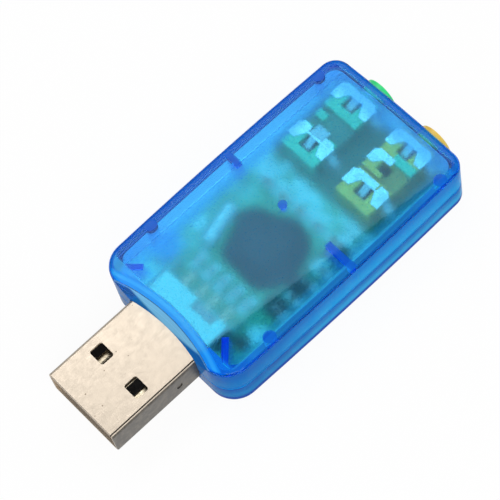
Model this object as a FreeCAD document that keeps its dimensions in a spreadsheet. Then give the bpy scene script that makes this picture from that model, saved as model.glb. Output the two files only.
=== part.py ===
"""USB sound card: a clear two-part case with a plug at one end and two audio sockets at the other.

Frame: +X runs from the plug's free end to the sockets, +Y is the headphone side, +Z is up.
The origin is at the bottom centre of the whole part. Sizes are in millimetres.
"""
import math
import os
import re

import FreeCAD
import Part
import Sketcher

Vector = FreeCAD.Vector
Rotation = FreeCAD.Rotation

doc = FreeCAD.newDocument("UsbSoundCard")
sheet = doc.addObject("Spreadsheet::Sheet", "Sizes")
names = []


def sizes(entries):
    """Put named sizes on the sheet as text: a number, or a formula of earlier names."""
    for name, value in entries.items():
        row = len(names) + 1
        sheet.set(f"A{row}", name)
        sheet.set(f"B{row}", str(value))
        sheet.setAlias(f"B{row}", name)
        names.append(name)
    doc.recompute()


PLUG = {
    "plug_width": 12.0,
    "plug_height": 4.5,
    "plug_exposed": 13.6,
    "plug_buried": 5.9,
    "plug_sheet": 0.3,
    "plug_bend": 0.5,
    "lead_in": 0.12,
    "window_start": 5.4,
    "window_length": 2.0,
    "window_width": 2.5,
    "window_spread": 6.4,
    "window_round": 0.35,
    "seam_start": 0.7,
    "seam_width": 0.14,
    "seam_depth": 0.15,
    "seam_inset": 0.3,
    "notch_width": 3.8,
    "notch_depth": 1.4,
    "notch_offset": 2.0,
    "tab_length": 1.9,
    "tab_height": 1.6,
    "tab_rise": 0.4,
    "overlap": 0.5,
    "overshoot": 1.0,
    "dimple_radius": 0.45,
    "dimple_depth": 0.12,
    "dimple_from_case": 3.0,
    "tongue_setback": 0.6,
    "block_length": 7.0,
    "block_setback": 0.2,
    "strip_width": 1.0,
    "strip_thickness": 0.2,
    "strip_inner_spread": 2.0,
    "strip_outer_spread": 7.0,
    "strip_setback": 1.4,
    "strip_stagger": 1.0,
    "tail_length": 1.7,
}
CASE = {
    "case_length": 41.3,
    "case_width": 24.1,
    "case_height": 8.6,
    "side_bow": 0.3,
    "back_bow": 0.25,
    "front_corner": 3.6,
    "back_corner": 2.4,
    "side_wall": 1.2,
    "top_wall": 1.0,
    "floor_wall": 1.0,
    "front_wall": 2.3,
    "back_wall": 1.2,
    "inner_corner": 1.6,
    "top_round": 0.6,
    "bottom_round": 1.2,
    "parting_bevel": 0.12,
    "parting_gap": 0.02,
    "scoop_setback": 0.7,
    "scoop_lean": 0.44,
    "side_clear": 0.05,
    "post_radius": 0.9,
    "post_inset": 1.15,
    "front_post_x": 8.2,
    "back_post_x": 4.1,
    "rib_thickness": 0.9,
    "rib_clear": 0.6,
    "mid_rib_x": 21.6,
    "right_rib_end": 7.0,
    "left_rib_end": 8.9,
    "corner_rib_angle": 46.0,
    "corner_rib_x": 1.15,
    "corner_rib_inset": 1.75,
    "right_corner_rib": 4.9,
    "left_corner_rib": 3.9,
    "stub_radius": 0.45,
    "stub_height": 0.6,
    "stub_x": 21.5,
    "stub_y": 0.9,
    "boss_radius": 2.0,
    "boss_x": 8.6,
    "boss_inset": 2.55,
    "rest_radius": 1.4,
    "rest_x": 20.0,
    "rest_inset": 1.5,
}
SOCKETS = {
    "nose_out": 1.0,
    "nose_radius": 2.5,
    "bore_radius": 1.8,
    "bore_end_wall": 1.0,
    "jack_pitch": 9.8,
    "jack_width": 5.7,
    "jack_offset": 0.4,
    "jack_length": 12.0,
    "jack_back_gap": 0.2,
    "jack_rise": 2.0,
    "tower_height": 0.65,
    "tower_length": 4.3,
    "tower_inset": 0.2,
    "middle_front_gap": 0.2,
    "middle_rear_gap": 0.4,
    "middle_tower_end": 0.1,
    "middle_hole_wall": 0.7,
    "middle_hole_y": 1.2,
    "middle_clip_x": 4.2,
    "middle_clip_length": 2.1,
    "hole_length": 2.0,
    "hole_width": 2.1,
    "hole_setback": 1.1,
    "peg_x": 5.3,
    "peg_length": 1.1,
    "peg_width": 1.5,
    "insert_width": 3.4,
    "lug_length": 0.9,
    "lug_reach": 0.6,
    "lug_height": 1.2,
    "lug_shift": 0.3,
    "clip_thickness": 0.25,
    "clip_length": 2.6,
    "clip_bar": 1.05,
    "clip_opening": 4.0,
    "clip_throat": 2.35,
    "clip_corner": 0.6,
    "clip_inset": 0.25,
    "slit_width": 0.3,
    "slit_depth": 0.8,
    "slit_y": 1.0,
    "flap_length": 2.0,
    "flap_angle": 14.0,
    "flap_clear": 0.15,
    "leg_width": 1.2,
    "leg_setback": 0.4,
    "foot_length": 0.7,
    "spring_width": 1.0,
    "spring_angle": 28.0,
    "spring_length": 1.6,
    "spring_lap": 0.1,
}
BOARD = {
    "board_thickness": 1.0,
    "board_rise": 0.1,
    "board_gap": 0.7,
    "board_side_gap": 1.15,
    "board_rear_gap": 0.3,
    "board_clear": 0.1,
    "arm_length": 3.6,
    "arm_width": 3.3,
    "cut_length": 4.4,
    "cut_width": 2.6,
    "blob_radius": 5.3,
    "blob_top_radius": 4.3,
    "blob_height": 1.2,
    "blob_x": 17.1,
    "blob_y": -0.6,
    "can_radius": 1.0,
    "can_length": 6.0,
    "can_angle": 14.0,
    "can_x": 15.0,
    "can_y": 5.9,
    "lead_radius": 0.15,
    "lead_length": 1.4,
    "lead_spread": 0.7,
    "chip_length": 1.6,
    "chip_width": 0.8,
    "resistor_height": 0.45,
    "capacitor_height": 0.8,
    "edge_row_x": 12.0,
    "edge_row_inset": 1.8,
    "edge_row_pitch": 2.5,
    "front_row_x": 9.9,
    "front_row_y": -4.4,
    "front_row_pitch": 2.2,
    "cap_row_x": 23.3,
    "cap_row_y": -6.0,
    "cap_row_pitch": 3.0,
    "solder_radius": 0.45,
    "solder_height": 0.4,
    "solder_tip": 0.12,
}
# Places that follow from the sizes
PLACES = {
    "total_length": "=plug_exposed + case_length + nose_out",
    "free_end": "=-total_length / 2",
    "case_front": "=free_end + plug_exposed",
    "case_back": "=case_front + case_length",
    "back_end": "=case_back - back_bow",
    "nose_end": "=case_back + nose_out",
    "half_end": "=case_width / 2 - side_bow",
    "side_radius": "=((back_end - case_front) ^ 2 / 4 + side_bow ^ 2) / (2 * side_bow)",
    "back_radius": "=(half_end ^ 2 + back_bow ^ 2) / (2 * back_bow)",
    "mid_height": "=case_height / 2",
    "lower_top": "=mid_height - parting_gap",
    "plug_top": "=mid_height + plug_height / 2",
    "plug_bottom": "=mid_height - plug_height / 2",
    "shell_rear": "=case_front + plug_buried",
    "roof": "=case_height - top_wall",
    "board_top": "=mid_height + board_rise",
    "board_bottom": "=board_top - board_thickness",
    "board_width": "=case_width - 2 * side_wall - 2 * board_side_gap",
    "board_front": "=shell_rear + board_gap",
    "board_rear": "=case_back - back_wall - back_bow - board_rear_gap",
    "scoop_radius": "=(plug_width ^ 2 / 4 + scoop_setback ^ 2) / (2 * scoop_setback)",
    "scoop_base": "=scoop_radius - scoop_lean * plug_height / 2",
    "jack_front": "=case_back - back_wall - jack_back_gap",
    "jack_rear": "=jack_front - jack_length",
    "middle_tower": "=jack_length - tower_inset - 2 * tower_length - middle_front_gap - middle_rear_gap",
    "deck": "=mid_height + jack_rise",
    "tower_top": "=deck + tower_height",
}
for entries in (PLUG, CASE, SOCKETS, BOARD, PLACES):
    sizes(entries)


def formula(text):
    """Turn a formula of size names into one that reads them from the sheet."""
    def read(found):
        word = found.group()
        return f"Sizes.{word}" if word in names else word
    return re.sub(r"[a-z_]+", read, str(text))


def value(text):
    """Number that a formula of size names gives now."""
    return float(sheet.evalExpression(formula(text)))


def bind(item, **formulas):
    """Tie an object's sizes to formulas."""
    for name, text in formulas.items():
        item.setExpression(name, formula(text))


def put(item, x="0", y="0", z="0", turn=None):
    """Place an object at formulas, after an optional fixed turn."""
    item.Placement = FreeCAD.Placement(Vector(), turn or Rotation())
    for axis, text in zip("xyz", (x, y, z)):
        item.setExpression(f"Placement.Base.{axis}", formula(text))
    return item


def new_body(label):
    """Empty body that carries a sub-part's name."""
    made = doc.addObject("PartDesign::Body", label)
    made.Label = label
    return made


def new_sketch(body, name, level):
    """Sketch seen from above at a level of the body."""
    made = body.newObject("Sketcher::SketchObject", name)
    plane = next(item for item in body.Origin.OriginFeatures if item.Role == "XY_Plane")
    made.AttachmentSupport = [(plane, "")]
    made.MapMode = "FlatFace"
    made.setExpression("AttachmentOffset.Base.z", formula(level))
    return made


def dimension(sketch, kind, text, *where):
    """Add a sketch dimension that follows a formula."""
    index = sketch.addConstraint(Sketcher.Constraint(kind, *where, value(text)))
    sketch.setExpression(f"Constraints[{index}]", formula(text))


def pin(sketch, geometry, end, x, y):
    """Hold the end of a sketch line at two formulas."""
    dimension(sketch, "DistanceX", x, -1, 1, geometry, end)
    dimension(sketch, "DistanceY", y, -1, 1, geometry, end)


def add_rectangle(sketch, left, right, low, high):
    """Add a rectangle between four formulas to a sketch."""
    first = sketch.GeometryCount
    xs = [value(left), value(right)]
    ys = [value(low), value(high)]
    corners = [Vector(xs[k in (1, 2)], ys[k > 1]) for k in range(4)]
    for k in range(4):
        sketch.addGeometry(Part.LineSegment(corners[k], corners[(k + 1) % 4]))
    for k in range(4):
        sketch.addConstraint(Sketcher.Constraint("Coincident", first + k, 2, first + (k + 1) % 4, 1))
        level = "Horizontal" if k % 2 == 0 else "Vertical"
        sketch.addConstraint(Sketcher.Constraint(level, first + k))
    pin(sketch, first, 1, left, low)
    pin(sketch, first + 2, 1, right, high)


def add_outline(sketch, points):
    """Add a closed outline through points given as pairs of formulas."""
    count = len(points)
    corners = [Vector(value(x), value(y)) for x, y in points]
    for k in range(count):
        sketch.addGeometry(Part.LineSegment(corners[k], corners[(k + 1) % count]))
    for k, (x, y) in enumerate(points):
        sketch.addConstraint(Sketcher.Constraint("Coincident", k, 2, (k + 1) % count, 1))
        pin(sketch, k, 1, x, y)


def add_plan(sketch, side, front, back):
    """Add the case's bowed plan, drawn in by a wall at the sides, front and back."""
    half = value(f"half_end - {side}")
    ahead = value(f"case_front + {front}")
    behind = value(f"back_end - {back}")
    side_radius = value("side_radius")
    back_radius = value("back_radius")
    middle = (ahead + behind) / 2
    sweep = math.asin((behind - ahead) / 2 / side_radius)
    swing = math.asin(half / back_radius)
    drop = half - side_radius * math.cos(sweep)
    quarter = math.pi / 2

    def arc(x, y, radius, toward, spread):
        circle = Part.Circle(Vector(x, y), Vector(0, 0, 1), radius)
        sketch.addGeometry(Part.ArcOfCircle(circle, toward - spread, toward + spread))

    sketch.addGeometry(Part.LineSegment(Vector(ahead, -half), Vector(ahead, half)))
    arc(middle, drop, side_radius, quarter, sweep)
    arc(behind - back_radius * math.cos(swing), 0, back_radius, 0, swing)
    arc(middle, -drop, side_radius, -quarter, sweep)
    for one, end, two, start in ((0, 2, 1, 2), (1, 1, 2, 2), (2, 1, 3, 2), (3, 1, 0, 1)):
        sketch.addConstraint(Sketcher.Constraint("Coincident", one, end, two, start))
    pin(sketch, 0, 1, f"case_front + {front}", f"{side} - half_end")
    pin(sketch, 0, 2, f"case_front + {front}", f"half_end - {side}")
    pin(sketch, 1, 1, f"back_end - {back}", f"half_end - {side}")
    pin(sketch, 3, 2, f"back_end - {back}", f"{side} - half_end")
    for k, radius in ((1, "side_radius"), (2, "back_radius"), (3, "side_radius")):
        dimension(sketch, "Radius", radius, k)


def extrude(kind, body, sketch, length, upward):
    """Pad or pocket a sketch, upward or downward."""
    made = body.newObject(f"PartDesign::{kind}", f"{sketch.Name}_{kind}")
    made.Profile = sketch
    made.Reversed = upward if kind == "Pocket" else not upward
    bind(made, Length=length)
    sketch.Visibility = False
    doc.recompute()
    return made


def block(kind, body, name, x, y, z, upward=True):
    """Pad or pocket a box given as three pairs of formulas."""
    sketch = new_sketch(body, name, z[0] if upward else z[1])
    add_rectangle(sketch, *x, *y)
    return extrude(kind, body, sketch, f"({z[1]}) - ({z[0]})", upward)


def cylinder(kind, body, name, x, y, z, radius, height, turn=None):
    """Add or cut a cylinder on a body."""
    made = put(body.newObject(f"PartDesign::{kind}Cylinder", name), x, y, z, turn)
    bind(made, Radius=radius, Height=height)
    doc.recompute()
    return made


def blend(kind, body, name, size, wanted):
    """Fillet or chamfer the edges of the body's last shape that a test picks."""
    base = body.Tip
    picked = [f"Edge{k}" for k, edge in enumerate(base.Shape.Edges, 1) if wanted(edge)]
    made = body.newObject(f"PartDesign::{kind}", name)
    made.Base = (base, picked)
    bind(made, **{"Radius" if kind == "Fillet" else "Size": size})
    doc.recompute()
    return made


def upright(ahead):
    """Test for the vertical edges on one side of an X position."""
    def test(edge):
        box = edge.BoundBox
        slim = box.XLength + box.YLength < 1e-6
        return slim and ahead(box.XMin)
    return test


def at_level(height):
    """Test for the edges that lie at a height."""
    def test(edge):
        return abs(edge.BoundBox.ZMin - height) + abs(edge.BoundBox.ZMax - height) < 1e-6
    return test


ALONG_X = Rotation(Vector(0, 1, 0), 90)
AGAINST_Y = Rotation(Vector(1, 0, 0), 90)
SIDES = (("left", 1), ("right", -1))


def half_case(label, meet, outer, round_size):
    """Solid half of the case from its meeting face to its outer face, with corners and edges rounded."""
    body = new_body(label)
    low, high = sorted((meet, outer), key=value)
    plan = new_sketch(body, f"{label}_plan", low)
    add_plan(plan, "0", "0", "0")
    extrude("Pad", body, plan, f"({high}) - ({low})", True)
    middle = value("case_front + case_length / 2")
    blend("Fillet", body, f"{label}_front_corners", "front_corner", upright(lambda x: x < middle))
    blend("Fillet", body, f"{label}_back_corners", "back_corner", upright(lambda x: x > middle))
    blend("Fillet", body, f"{label}_edge", round_size, at_level(value(outer)))
    blend("Chamfer", body, f"{label}_parting", "parting_bevel", at_level(value(meet)))
    return body


def hollow(body, meet, depth, upward):
    """Cut the room inside a half case, with the ways out for the plug and the sockets."""
    label = body.Label
    room = new_sketch(body, f"{label}_room", meet)
    add_plan(room, "side_wall", "front_wall", "back_wall")
    extrude("Pocket", body, room, depth, upward)
    limits = [value("case_front + front_wall"), value("back_end - back_wall")]
    inside = upright(lambda x: min(abs(x - limit) for limit in limits) < 1e-6)
    blend("Fillet", body, f"{label}_room_corners", "inner_corner", inside)
    levels = (meet, "plug_top + side_clear") if upward else ("plug_bottom - side_clear", meet)
    width = "plug_width / 2 + side_clear"
    block("Pocket", body, f"{label}_plug_way",
          ("case_front - overshoot", "case_front + front_wall + overshoot"),
          (f"-({width})", width), levels, upward)
    for side, sign in SIDES:
        cylinder("Subtractive", body, f"{label}_{side}_nose_way", "case_back - back_wall - overshoot",
                 f"{sign} * jack_pitch / 2", "mid_height", "nose_radius + side_clear",
                 "back_wall + 2 * overshoot", ALONG_X)


def make_upper_shell():
    """Upper half: roof, walls, scooped front, corner and side ribs, posts and moulding stub."""
    body = half_case("upper_shell", "mid_height", "case_height", "top_round")
    hollow(body, "mid_height", "roof - mid_height", True)
    scoop = put(body.newObject("PartDesign::SubtractiveCone", "scoop"),
                "case_front + scoop_setback - scoop_radius", "0", "mid_height")
    bind(scoop, Radius1="scoop_base", Height="mid_height + overshoot",
         Radius2="scoop_base + scoop_lean * (mid_height + overshoot)")
    doc.recompute()
    post_y = "(case_width / 2 - post_inset)"
    for side, sign in SIDES:
        for place, x in (("front", "case_front + front_post_x"), ("back", "case_back - back_post_x")):
            cylinder("Additive", body, f"{place}_{side}_post", x, f"{sign} * {post_y}", "mid_height",
                     "post_radius", "roof - mid_height + top_wall / 2")
        low = "board_top + rib_clear"
        ends = [f"{sign} * {side}_rib_end", f"{sign} * (case_width / 2 - side_wall / 2)"]
        rib_x = ("case_front + mid_rib_x - rib_thickness / 2", "case_front + mid_rib_x + rib_thickness / 2")
        block("Pad", body, f"{side}_rib", rib_x, ends[::sign], (low, "roof + top_wall / 2"))
        turn = Rotation(Vector(0, 0, 1), -sign * value("corner_rib_angle"))
        gusset = put(body.newObject("PartDesign::AdditiveBox", f"{side}_corner_rib"),
                     f"case_front + corner_rib_x - {sign} * rib_thickness / 2 * sin(corner_rib_angle * 1 deg)",
                     f"{sign} * (case_width / 2 - corner_rib_inset)"
                     f" - rib_thickness / 2 * cos(corner_rib_angle * 1 deg)", low, turn)
        bind(gusset, Length=f"{side}_corner_rib", Width="rib_thickness",
             Height=f"roof + top_wall / 2 - ({low})")
        doc.recompute()
    cylinder("Additive", body, "stub", "case_front + stub_x", "stub_y", "roof - stub_height",
             "stub_radius", "stub_height + top_wall / 2")
    return body


def make_lower_shell():
    """Lower half: floor, walls, the tall boss and the rests under the board."""
    body = half_case("lower_shell", "lower_top", "0", "bottom_round")
    hollow(body, "lower_top", "lower_top - floor_wall", False)
    low = "floor_wall / 2"
    for side, sign in SIDES:
        top = "lower_top" if side == "left" else "board_bottom"
        cylinder("Additive", body, f"{side}_boss", "case_front + boss_x",
                 f"{sign} * (case_width / 2 - boss_inset)", low, "boss_radius", f"{top} - {low}")
        cylinder("Additive", body, f"{side}_rest", "case_front + rest_x",
                 f"{sign} * (board_width / 2 - rest_inset)", low, "rest_radius", f"board_bottom - {low}")
    cylinder("Additive", body, "rear_rest", "jack_rear + jack_length / 2", "jack_offset", low,
             "(jack_pitch - jack_width) / 2 - 4 * board_clear", f"board_bottom - {low}")
    return body


def make_usb_shell():
    """Folded plug shell: windows above and below, seam, rear notch, board tabs and side dimples."""
    body = new_body("usb_shell")
    half = "plug_width / 2"
    inner = "(plug_width / 2 - plug_sheet)"
    block("Pad", body, "tube", ("free_end", "shell_rear"), (f"-{half}", half), ("plug_bottom", "plug_top"))
    long_way = value("plug_exposed")
    blend("Fillet", body, "bends", "plug_bend", lambda edge: edge.BoundBox.XLength > long_way)
    mouth = value("free_end")
    blend("Chamfer", body, "mouth_edge", "lead_in",
          lambda edge: abs(edge.BoundBox.XMin - mouth) + edge.BoundBox.XLength < 1e-6)
    block("Pocket", body, "channel", ("free_end - overshoot", "shell_rear + overshoot"),
          (f"-{inner}", inner), ("plug_bottom + plug_sheet", "plug_top - plug_sheet"))
    ends = ("free_end + window_start", "free_end + window_start + window_length")
    for side, sign in SIDES:
        edges = [f"{sign} * (window_spread - window_width) / 2",
                 f"{sign} * (window_spread + window_width) / 2"]
        block("Pocket", body, f"{side}_window", ends, edges[::sign],
              ("plug_bottom - overshoot", "plug_top + overshoot"))
    limits = [value(end) for end in ends]
    blend("Fillet", body, "window_corners", "window_round",
          upright(lambda x: min(abs(x - limit) for limit in limits) < 1e-6))
    block("Pocket", body, "seam", ("free_end + seam_start", "shell_rear + overshoot"),
          (f"seam_inset - {half}", f"seam_inset + seam_width - {half}"),
          ("plug_top - seam_depth", "plug_top + overshoot"))
    for side, sign in SIDES:
        tab = [f"{sign} * {inner}", f"{sign} * {half}"]
        block("Pad", body, f"{side}_tab", ("shell_rear - overlap", "shell_rear + tab_length"), tab[::sign],
              ("board_top + tab_rise - tab_height", "board_top + tab_rise"))
        start = "plug_width / 2 + overshoot" if side == "left" else "dimple_depth - plug_width / 2"
        cylinder("Subtractive", body, f"{side}_dimple", "case_front - dimple_from_case", start, "mid_height",
                 "dimple_radius", "overshoot + dimple_depth", AGAINST_Y)
    block("Pocket", body, "rear_notch", ("shell_rear - notch_depth", "shell_rear + overshoot"),
          ("-notch_offset - notch_width / 2", "notch_width / 2 - notch_offset"),
          ("mid_height", "plug_top + overshoot"))
    return body


def strip_places():
    """Side offset and free-end setback of each of the four contact strips."""
    for sign in (1, -1):
        yield f"{sign} * strip_outer_spread / 2", "strip_setback"
        yield f"{sign} * strip_inner_spread / 2", "strip_setback + strip_stagger"


def make_usb_insulator():
    """Tongue under the strips and the block that closes the shell behind it."""
    body = new_body("usb_insulator")
    inner = "plug_width / 2 - plug_sheet"
    low = "plug_bottom + plug_sheet"
    rear = "shell_rear - block_setback"
    block("Pad", body, "tongue", ("free_end + tongue_setback", rear), (f"-({inner})", inner),
          (low, "board_top"))
    block("Pad", body, "plug_block", (f"{rear} - block_length", rear), (f"-({inner})", inner),
          (low, "plug_top - plug_sheet"))
    for k, (offset, setback) in enumerate(strip_places()):
        block("Pocket", body, f"slot_{k}", (f"{rear} - block_length - overshoot", f"{rear} + overshoot"),
              (f"{offset} - strip_width / 2", f"{offset} + strip_width / 2"),
              ("board_top", "board_top + strip_thickness"))
    return body


def box(name, x, y, z):
    """Box between three pairs of formulas."""
    made = put(doc.addObject("Part::Box", name), x[0], y[0], z[0])
    bind(made, Length=f"({x[1]}) - ({x[0]})", Width=f"({y[1]}) - ({y[0]})",
         Height=f"({z[1]}) - ({z[0]})")
    return made


def group(label, members):
    """Join solids side by side in one sub-part."""
    made = doc.addObject("Part::Compound", label)
    made.Label = label
    made.Links = members
    doc.recompute()
    return made


def make_usb_contacts():
    """Four flat strips from the tongue to the board."""
    strips = []
    for k, (offset, setback) in enumerate(strip_places()):
        strips.append(box(f"strip_{k}", (f"free_end + {setback}", "board_front + tail_length"),
                          (f"{offset} - strip_width / 2", f"{offset} + strip_width / 2"),
                          ("board_top", "board_top + strip_thickness")))
    return group("usb_contacts", strips)


def jack_middle(sign):
    """Y of the middle of a socket's block, which stands a little to one side of its bore."""
    return f"({sign} * jack_pitch / 2 + jack_offset)"


def make_circuit_board():
    """Board with an arm beside the plug, a cut corner, tab notches and the socket openings."""
    body = new_body("circuit_board")
    half = "board_width / 2"
    levels = ("board_bottom", "board_top")
    block("Pad", body, "board", ("board_front", "board_rear"), (f"-{half}", half), levels)
    block("Pad", body, "arm", ("board_front - arm_length", "board_front + overlap"),
          (f"-{half}", f"arm_width - {half}"), levels)
    block("Pocket", body, "corner_cut", ("board_front - overshoot", "board_front + cut_length"),
          (f"{half} - cut_width", f"{half} + overshoot"), levels)
    for side, sign in SIDES:
        slot = [f"{sign} * (plug_width / 2 - plug_sheet - board_clear)",
                f"{sign} * (plug_width / 2 + board_clear)"]
        block("Pocket", body, f"{side}_tab_slot",
              ("board_front - overlap", "shell_rear + tab_length + board_clear"), slot[::sign], levels)
        middle = jack_middle(sign)
        reach = "(jack_width / 2 + board_clear)"
        block("Pocket", body, f"{side}_jack_slot", ("jack_rear - board_clear", "board_rear + overshoot"),
              (f"{middle} - {reach}", f"{middle} + {reach}"), levels)
    return body


def tower_fronts(towers):
    """X of the socket-end face of each named tower on a jack body."""
    places = {"front": "jack_front - tower_inset",
              "middle": "jack_front - tower_inset - tower_length - middle_front_gap",
              "rear": "jack_rear + tower_length"}
    return {tower: places[tower] for tower in towers}


def insert_room(sign):
    """Room for an insert at a corner of the front tower, as three pairs of formulas."""
    front = tower_fronts(["front"])["front"]
    low = f"{jack_middle(sign)} - jack_width / 2"
    return ((f"{front} - tower_length", f"{front} - hole_setback - hole_length"),
            (low, f"{low} + insert_width"), ("deck", "tower_top"))


def make_jack_body(label, sign, towers):
    """Socket body: block on the floor, towers with windows over the bore, side lugs and a nose."""
    body = new_body(label)
    middle = jack_middle(sign)
    low, high = f"{middle} - jack_width / 2", f"{middle} + jack_width / 2"
    fronts = tower_fronts(towers)
    levels = ("deck - overlap", "tower_top")
    block("Pad", body, f"{label}_base", ("jack_rear", "jack_front"), (low, high), ("floor_wall", "deck"))
    for tower, front in fronts.items():
        length = "middle_tower" if tower == "middle" else "tower_length"
        edge = f"{middle} - middle_tower_end" if tower == "middle" else low
        block("Pad", body, f"{label}_{tower}_tower", (f"{front} - {length}", front), (edge, high), levels)
        lug = f"{front} - {length} / 2 - lug_shift"
        block("Pad", body, f"{label}_{tower}_lug", (f"{lug} - lug_length / 2", f"{lug} + lug_length / 2"),
              (f"{low} - lug_reach", f"{low} + overlap"), ("board_top", "board_top + lug_height"))
    if "middle" in towers:
        block("Pocket", body, f"{label}_insert_room", *insert_room(sign))
    else:
        block("Pad", body, f"{label}_peg", ("jack_front - peg_x - peg_length", "jack_front - peg_x"),
              (f"{middle} + hole_width / 2", f"{middle} + hole_width / 2 + peg_width"), levels)
        start = f"{fronts['rear']} - clip_inset - clip_bar"
        reach = "(clip_throat / 2 + flap_clear)"
        block("Pocket", body, f"{label}_flap_room", (start, f"{fronts['rear']} + overlap"),
              (f"{middle} - {reach}", f"{middle} + {reach}"), ("deck", "tower_top + overshoot"))
    axis = f"{sign} * jack_pitch / 2"
    cylinder("Additive", body, f"{label}_nose", "jack_front - overlap", axis, "mid_height", "nose_radius",
             "nose_end - jack_front + overlap", ALONG_X)
    cylinder("Subtractive", body, f"{label}_bore", "jack_rear + bore_end_wall", axis, "mid_height",
             "bore_radius", "nose_end - jack_rear", ALONG_X)
    for tower, front in fronts.items():
        if tower == "middle":
            x = (f"{front} - middle_tower + middle_hole_wall", f"{front} - overlap")
            y = (f"{middle} - middle_tower_end - overlap", f"{middle} + middle_hole_y")
        else:
            x = (f"{front} - hole_setback - hole_length", f"{front} - hole_setback")
            y = (f"{middle} - hole_width / 2", f"{middle} + hole_width / 2")
        block("Pocket", body, f"{label}_{tower}_hole", x, y, ("mid_height", "tower_top + overshoot"))
    return body


def clip_front(tower):
    """X of the socket-end edge of the clip on a tower."""
    if tower == "middle":
        return "(jack_front - middle_clip_x)"
    return f"({tower_fronts([tower])[tower]} - clip_inset)"


def make_contact(label, sign, tower, style):
    """Clip on a tower: a plate with a splayed opening, legs and feet beside the block, and a spring."""
    body = new_body(label)
    middle = jack_middle(sign)
    front = clip_front(tower)
    half = "(jack_width / 2 + clip_thickness)"
    length = "middle_clip_length" if style == "half" else "clip_length"
    inner = f"{front} - clip_bar"

    def flank(way):
        return [(front, f"{middle} + {way} * ({half} - clip_corner)"),
                (f"{front} - clip_corner", f"{middle} + {way} * {half}"),
                (f"{front} - {length}", f"{middle} + {way} * {half}"),
                (f"{front} - {length}", f"{middle} + {way} * clip_opening / 2"),
                (inner, f"{middle} + {way} * clip_throat / 2")]

    outline = flank(1) + flank(-1)[::-1]
    if style == "half":
        end = f"{middle} - middle_tower_end"
        outline = flank(1) + [(inner, end), (front, end)]
    elif style == "flap":
        edges = [f"{middle} - clip_throat / 2", f"{middle} + clip_throat / 2"]
        bridge = f"{inner} + clip_thickness"
        outline += [(front, edges[0]), (bridge, edges[0]), (bridge, edges[1]), (front, edges[1])]
    elif style == "slit":
        edges = [f"{middle} - slit_y - slit_width", f"{middle} - slit_y"]
        bottom = f"{front} - slit_depth"
        outline += [(front, edges[0]), (bottom, edges[0]), (bottom, edges[1]), (front, edges[1])]
    plan = new_sketch(body, f"{label}_plan", "tower_top")
    add_outline(plan, outline)
    extrude("Pad", body, plan, "clip_thickness", True)
    across = (f"{front} - leg_setback - leg_width", f"{front} - leg_setback")
    for side, way in SIDES[:1] if style == "half" else SIDES:
        leg = [f"{middle} + {way} * jack_width / 2", f"{middle} + {way} * {half}"]
        block("Pad", body, f"{label}_{side}_leg", across, leg[::way],
              ("board_top", "tower_top + clip_thickness"))
        foot = [leg[0], f"{middle} + {way} * ({half} + foot_length)"]
        block("Pad", body, f"{label}_{side}_foot", across, foot[::way],
              ("board_top", "board_top + clip_thickness"))
    if style == "flap":
        flap = put(body.newObject("PartDesign::AdditiveBox", f"{label}_flap"), inner,
                   f"{middle} - clip_throat / 2 + flap_clear", "tower_top",
                   Rotation(Vector(0, 1, 0), value("flap_angle")))
        bind(flap, Length="flap_length", Width="clip_throat - 2 * flap_clear", Height="clip_thickness")
    if style != "half":
        turn = Rotation(Vector(0, 0, 1), 180) * Rotation(Vector(0, 1, 0), value("spring_angle"))
        spring = put(body.newObject("PartDesign::AdditiveBox", f"{label}_spring"), f"{inner} + spring_lap",
                     f"{middle} + spring_width / 2", "tower_top", turn)
        bind(spring, Length="spring_length", Width="spring_width", Height="clip_thickness")
    doc.recompute()
    return body


def make_chip_blob():
    """Resin mound over the chip: a low cone with a flat top."""
    mound = put(doc.addObject("Part::Cone", "mound"), "case_front + blob_x", "blob_y", "board_top")
    bind(mound, Radius1="blob_radius", Radius2="blob_top_radius", Height="blob_height")
    return group("chip_blob", [mound])


def make_crystal():
    """Crystal can lying on the board, and the two leads at its end."""
    turn = Rotation(Vector(0, 0, 1), value("can_angle")) * ALONG_X
    can = doc.addObject("Part::Cylinder", "can")
    along = ("cos(can_angle * 1 deg)", "sin(can_angle * 1 deg)")

    def start(back, aside):
        return (f"case_front + can_x - ({back}) * {along[0]} - ({aside}) * {along[1]}",
                f"can_y - ({back}) * {along[1]} + ({aside}) * {along[0]}")

    put(can, *start("can_length / 2", "0"), "board_top + can_radius", turn)
    bind(can, Radius="can_radius", Height="can_length")
    leads = []
    for side, sign in SIDES:
        lead = doc.addObject("Part::Cylinder", f"{side}_lead")
        place = start("can_length / 2 + lead_length", f"{sign} * lead_spread / 2")
        put(lead, *place, "board_top + lead_radius", turn)
        bind(lead, Radius="lead_radius", Height="lead_length")
        leads.append(lead)
    return group("crystal_can", [can]), group("crystal_leads", leads)


def make_chips():
    """Rows of small two-ended chips: resistors by the edge and the plug, capacitors by the sockets."""
    def chip(name, x, y, height, along_x):
        length, width = ("chip_length", "chip_width") if along_x else ("chip_width", "chip_length")
        x = f"case_front + {x}"
        return box(name, (f"{x} - {length} / 2", f"{x} + {length} / 2"),
                   (f"{y} - {width} / 2", f"{y} + {width} / 2"), ("board_top", f"board_top + {height}"))

    resistors = []
    capacitors = []
    for k in range(5):
        resistors.append(chip(f"edge_resistor_{k}", f"edge_row_x + {k} * edge_row_pitch",
                              "(edge_row_inset - board_width / 2)", "resistor_height", False))
        resistors.append(chip(f"front_resistor_{k}", "front_row_x", f"front_row_y + {k} * front_row_pitch",
                              "resistor_height", True))
        capacitors.append(chip(f"capacitor_{k}", "cap_row_x", f"cap_row_y + {k} * cap_row_pitch",
                               "capacitor_height", False))
    return group("chip_resistors", resistors), group("ceramic_capacitors", capacitors)


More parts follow.
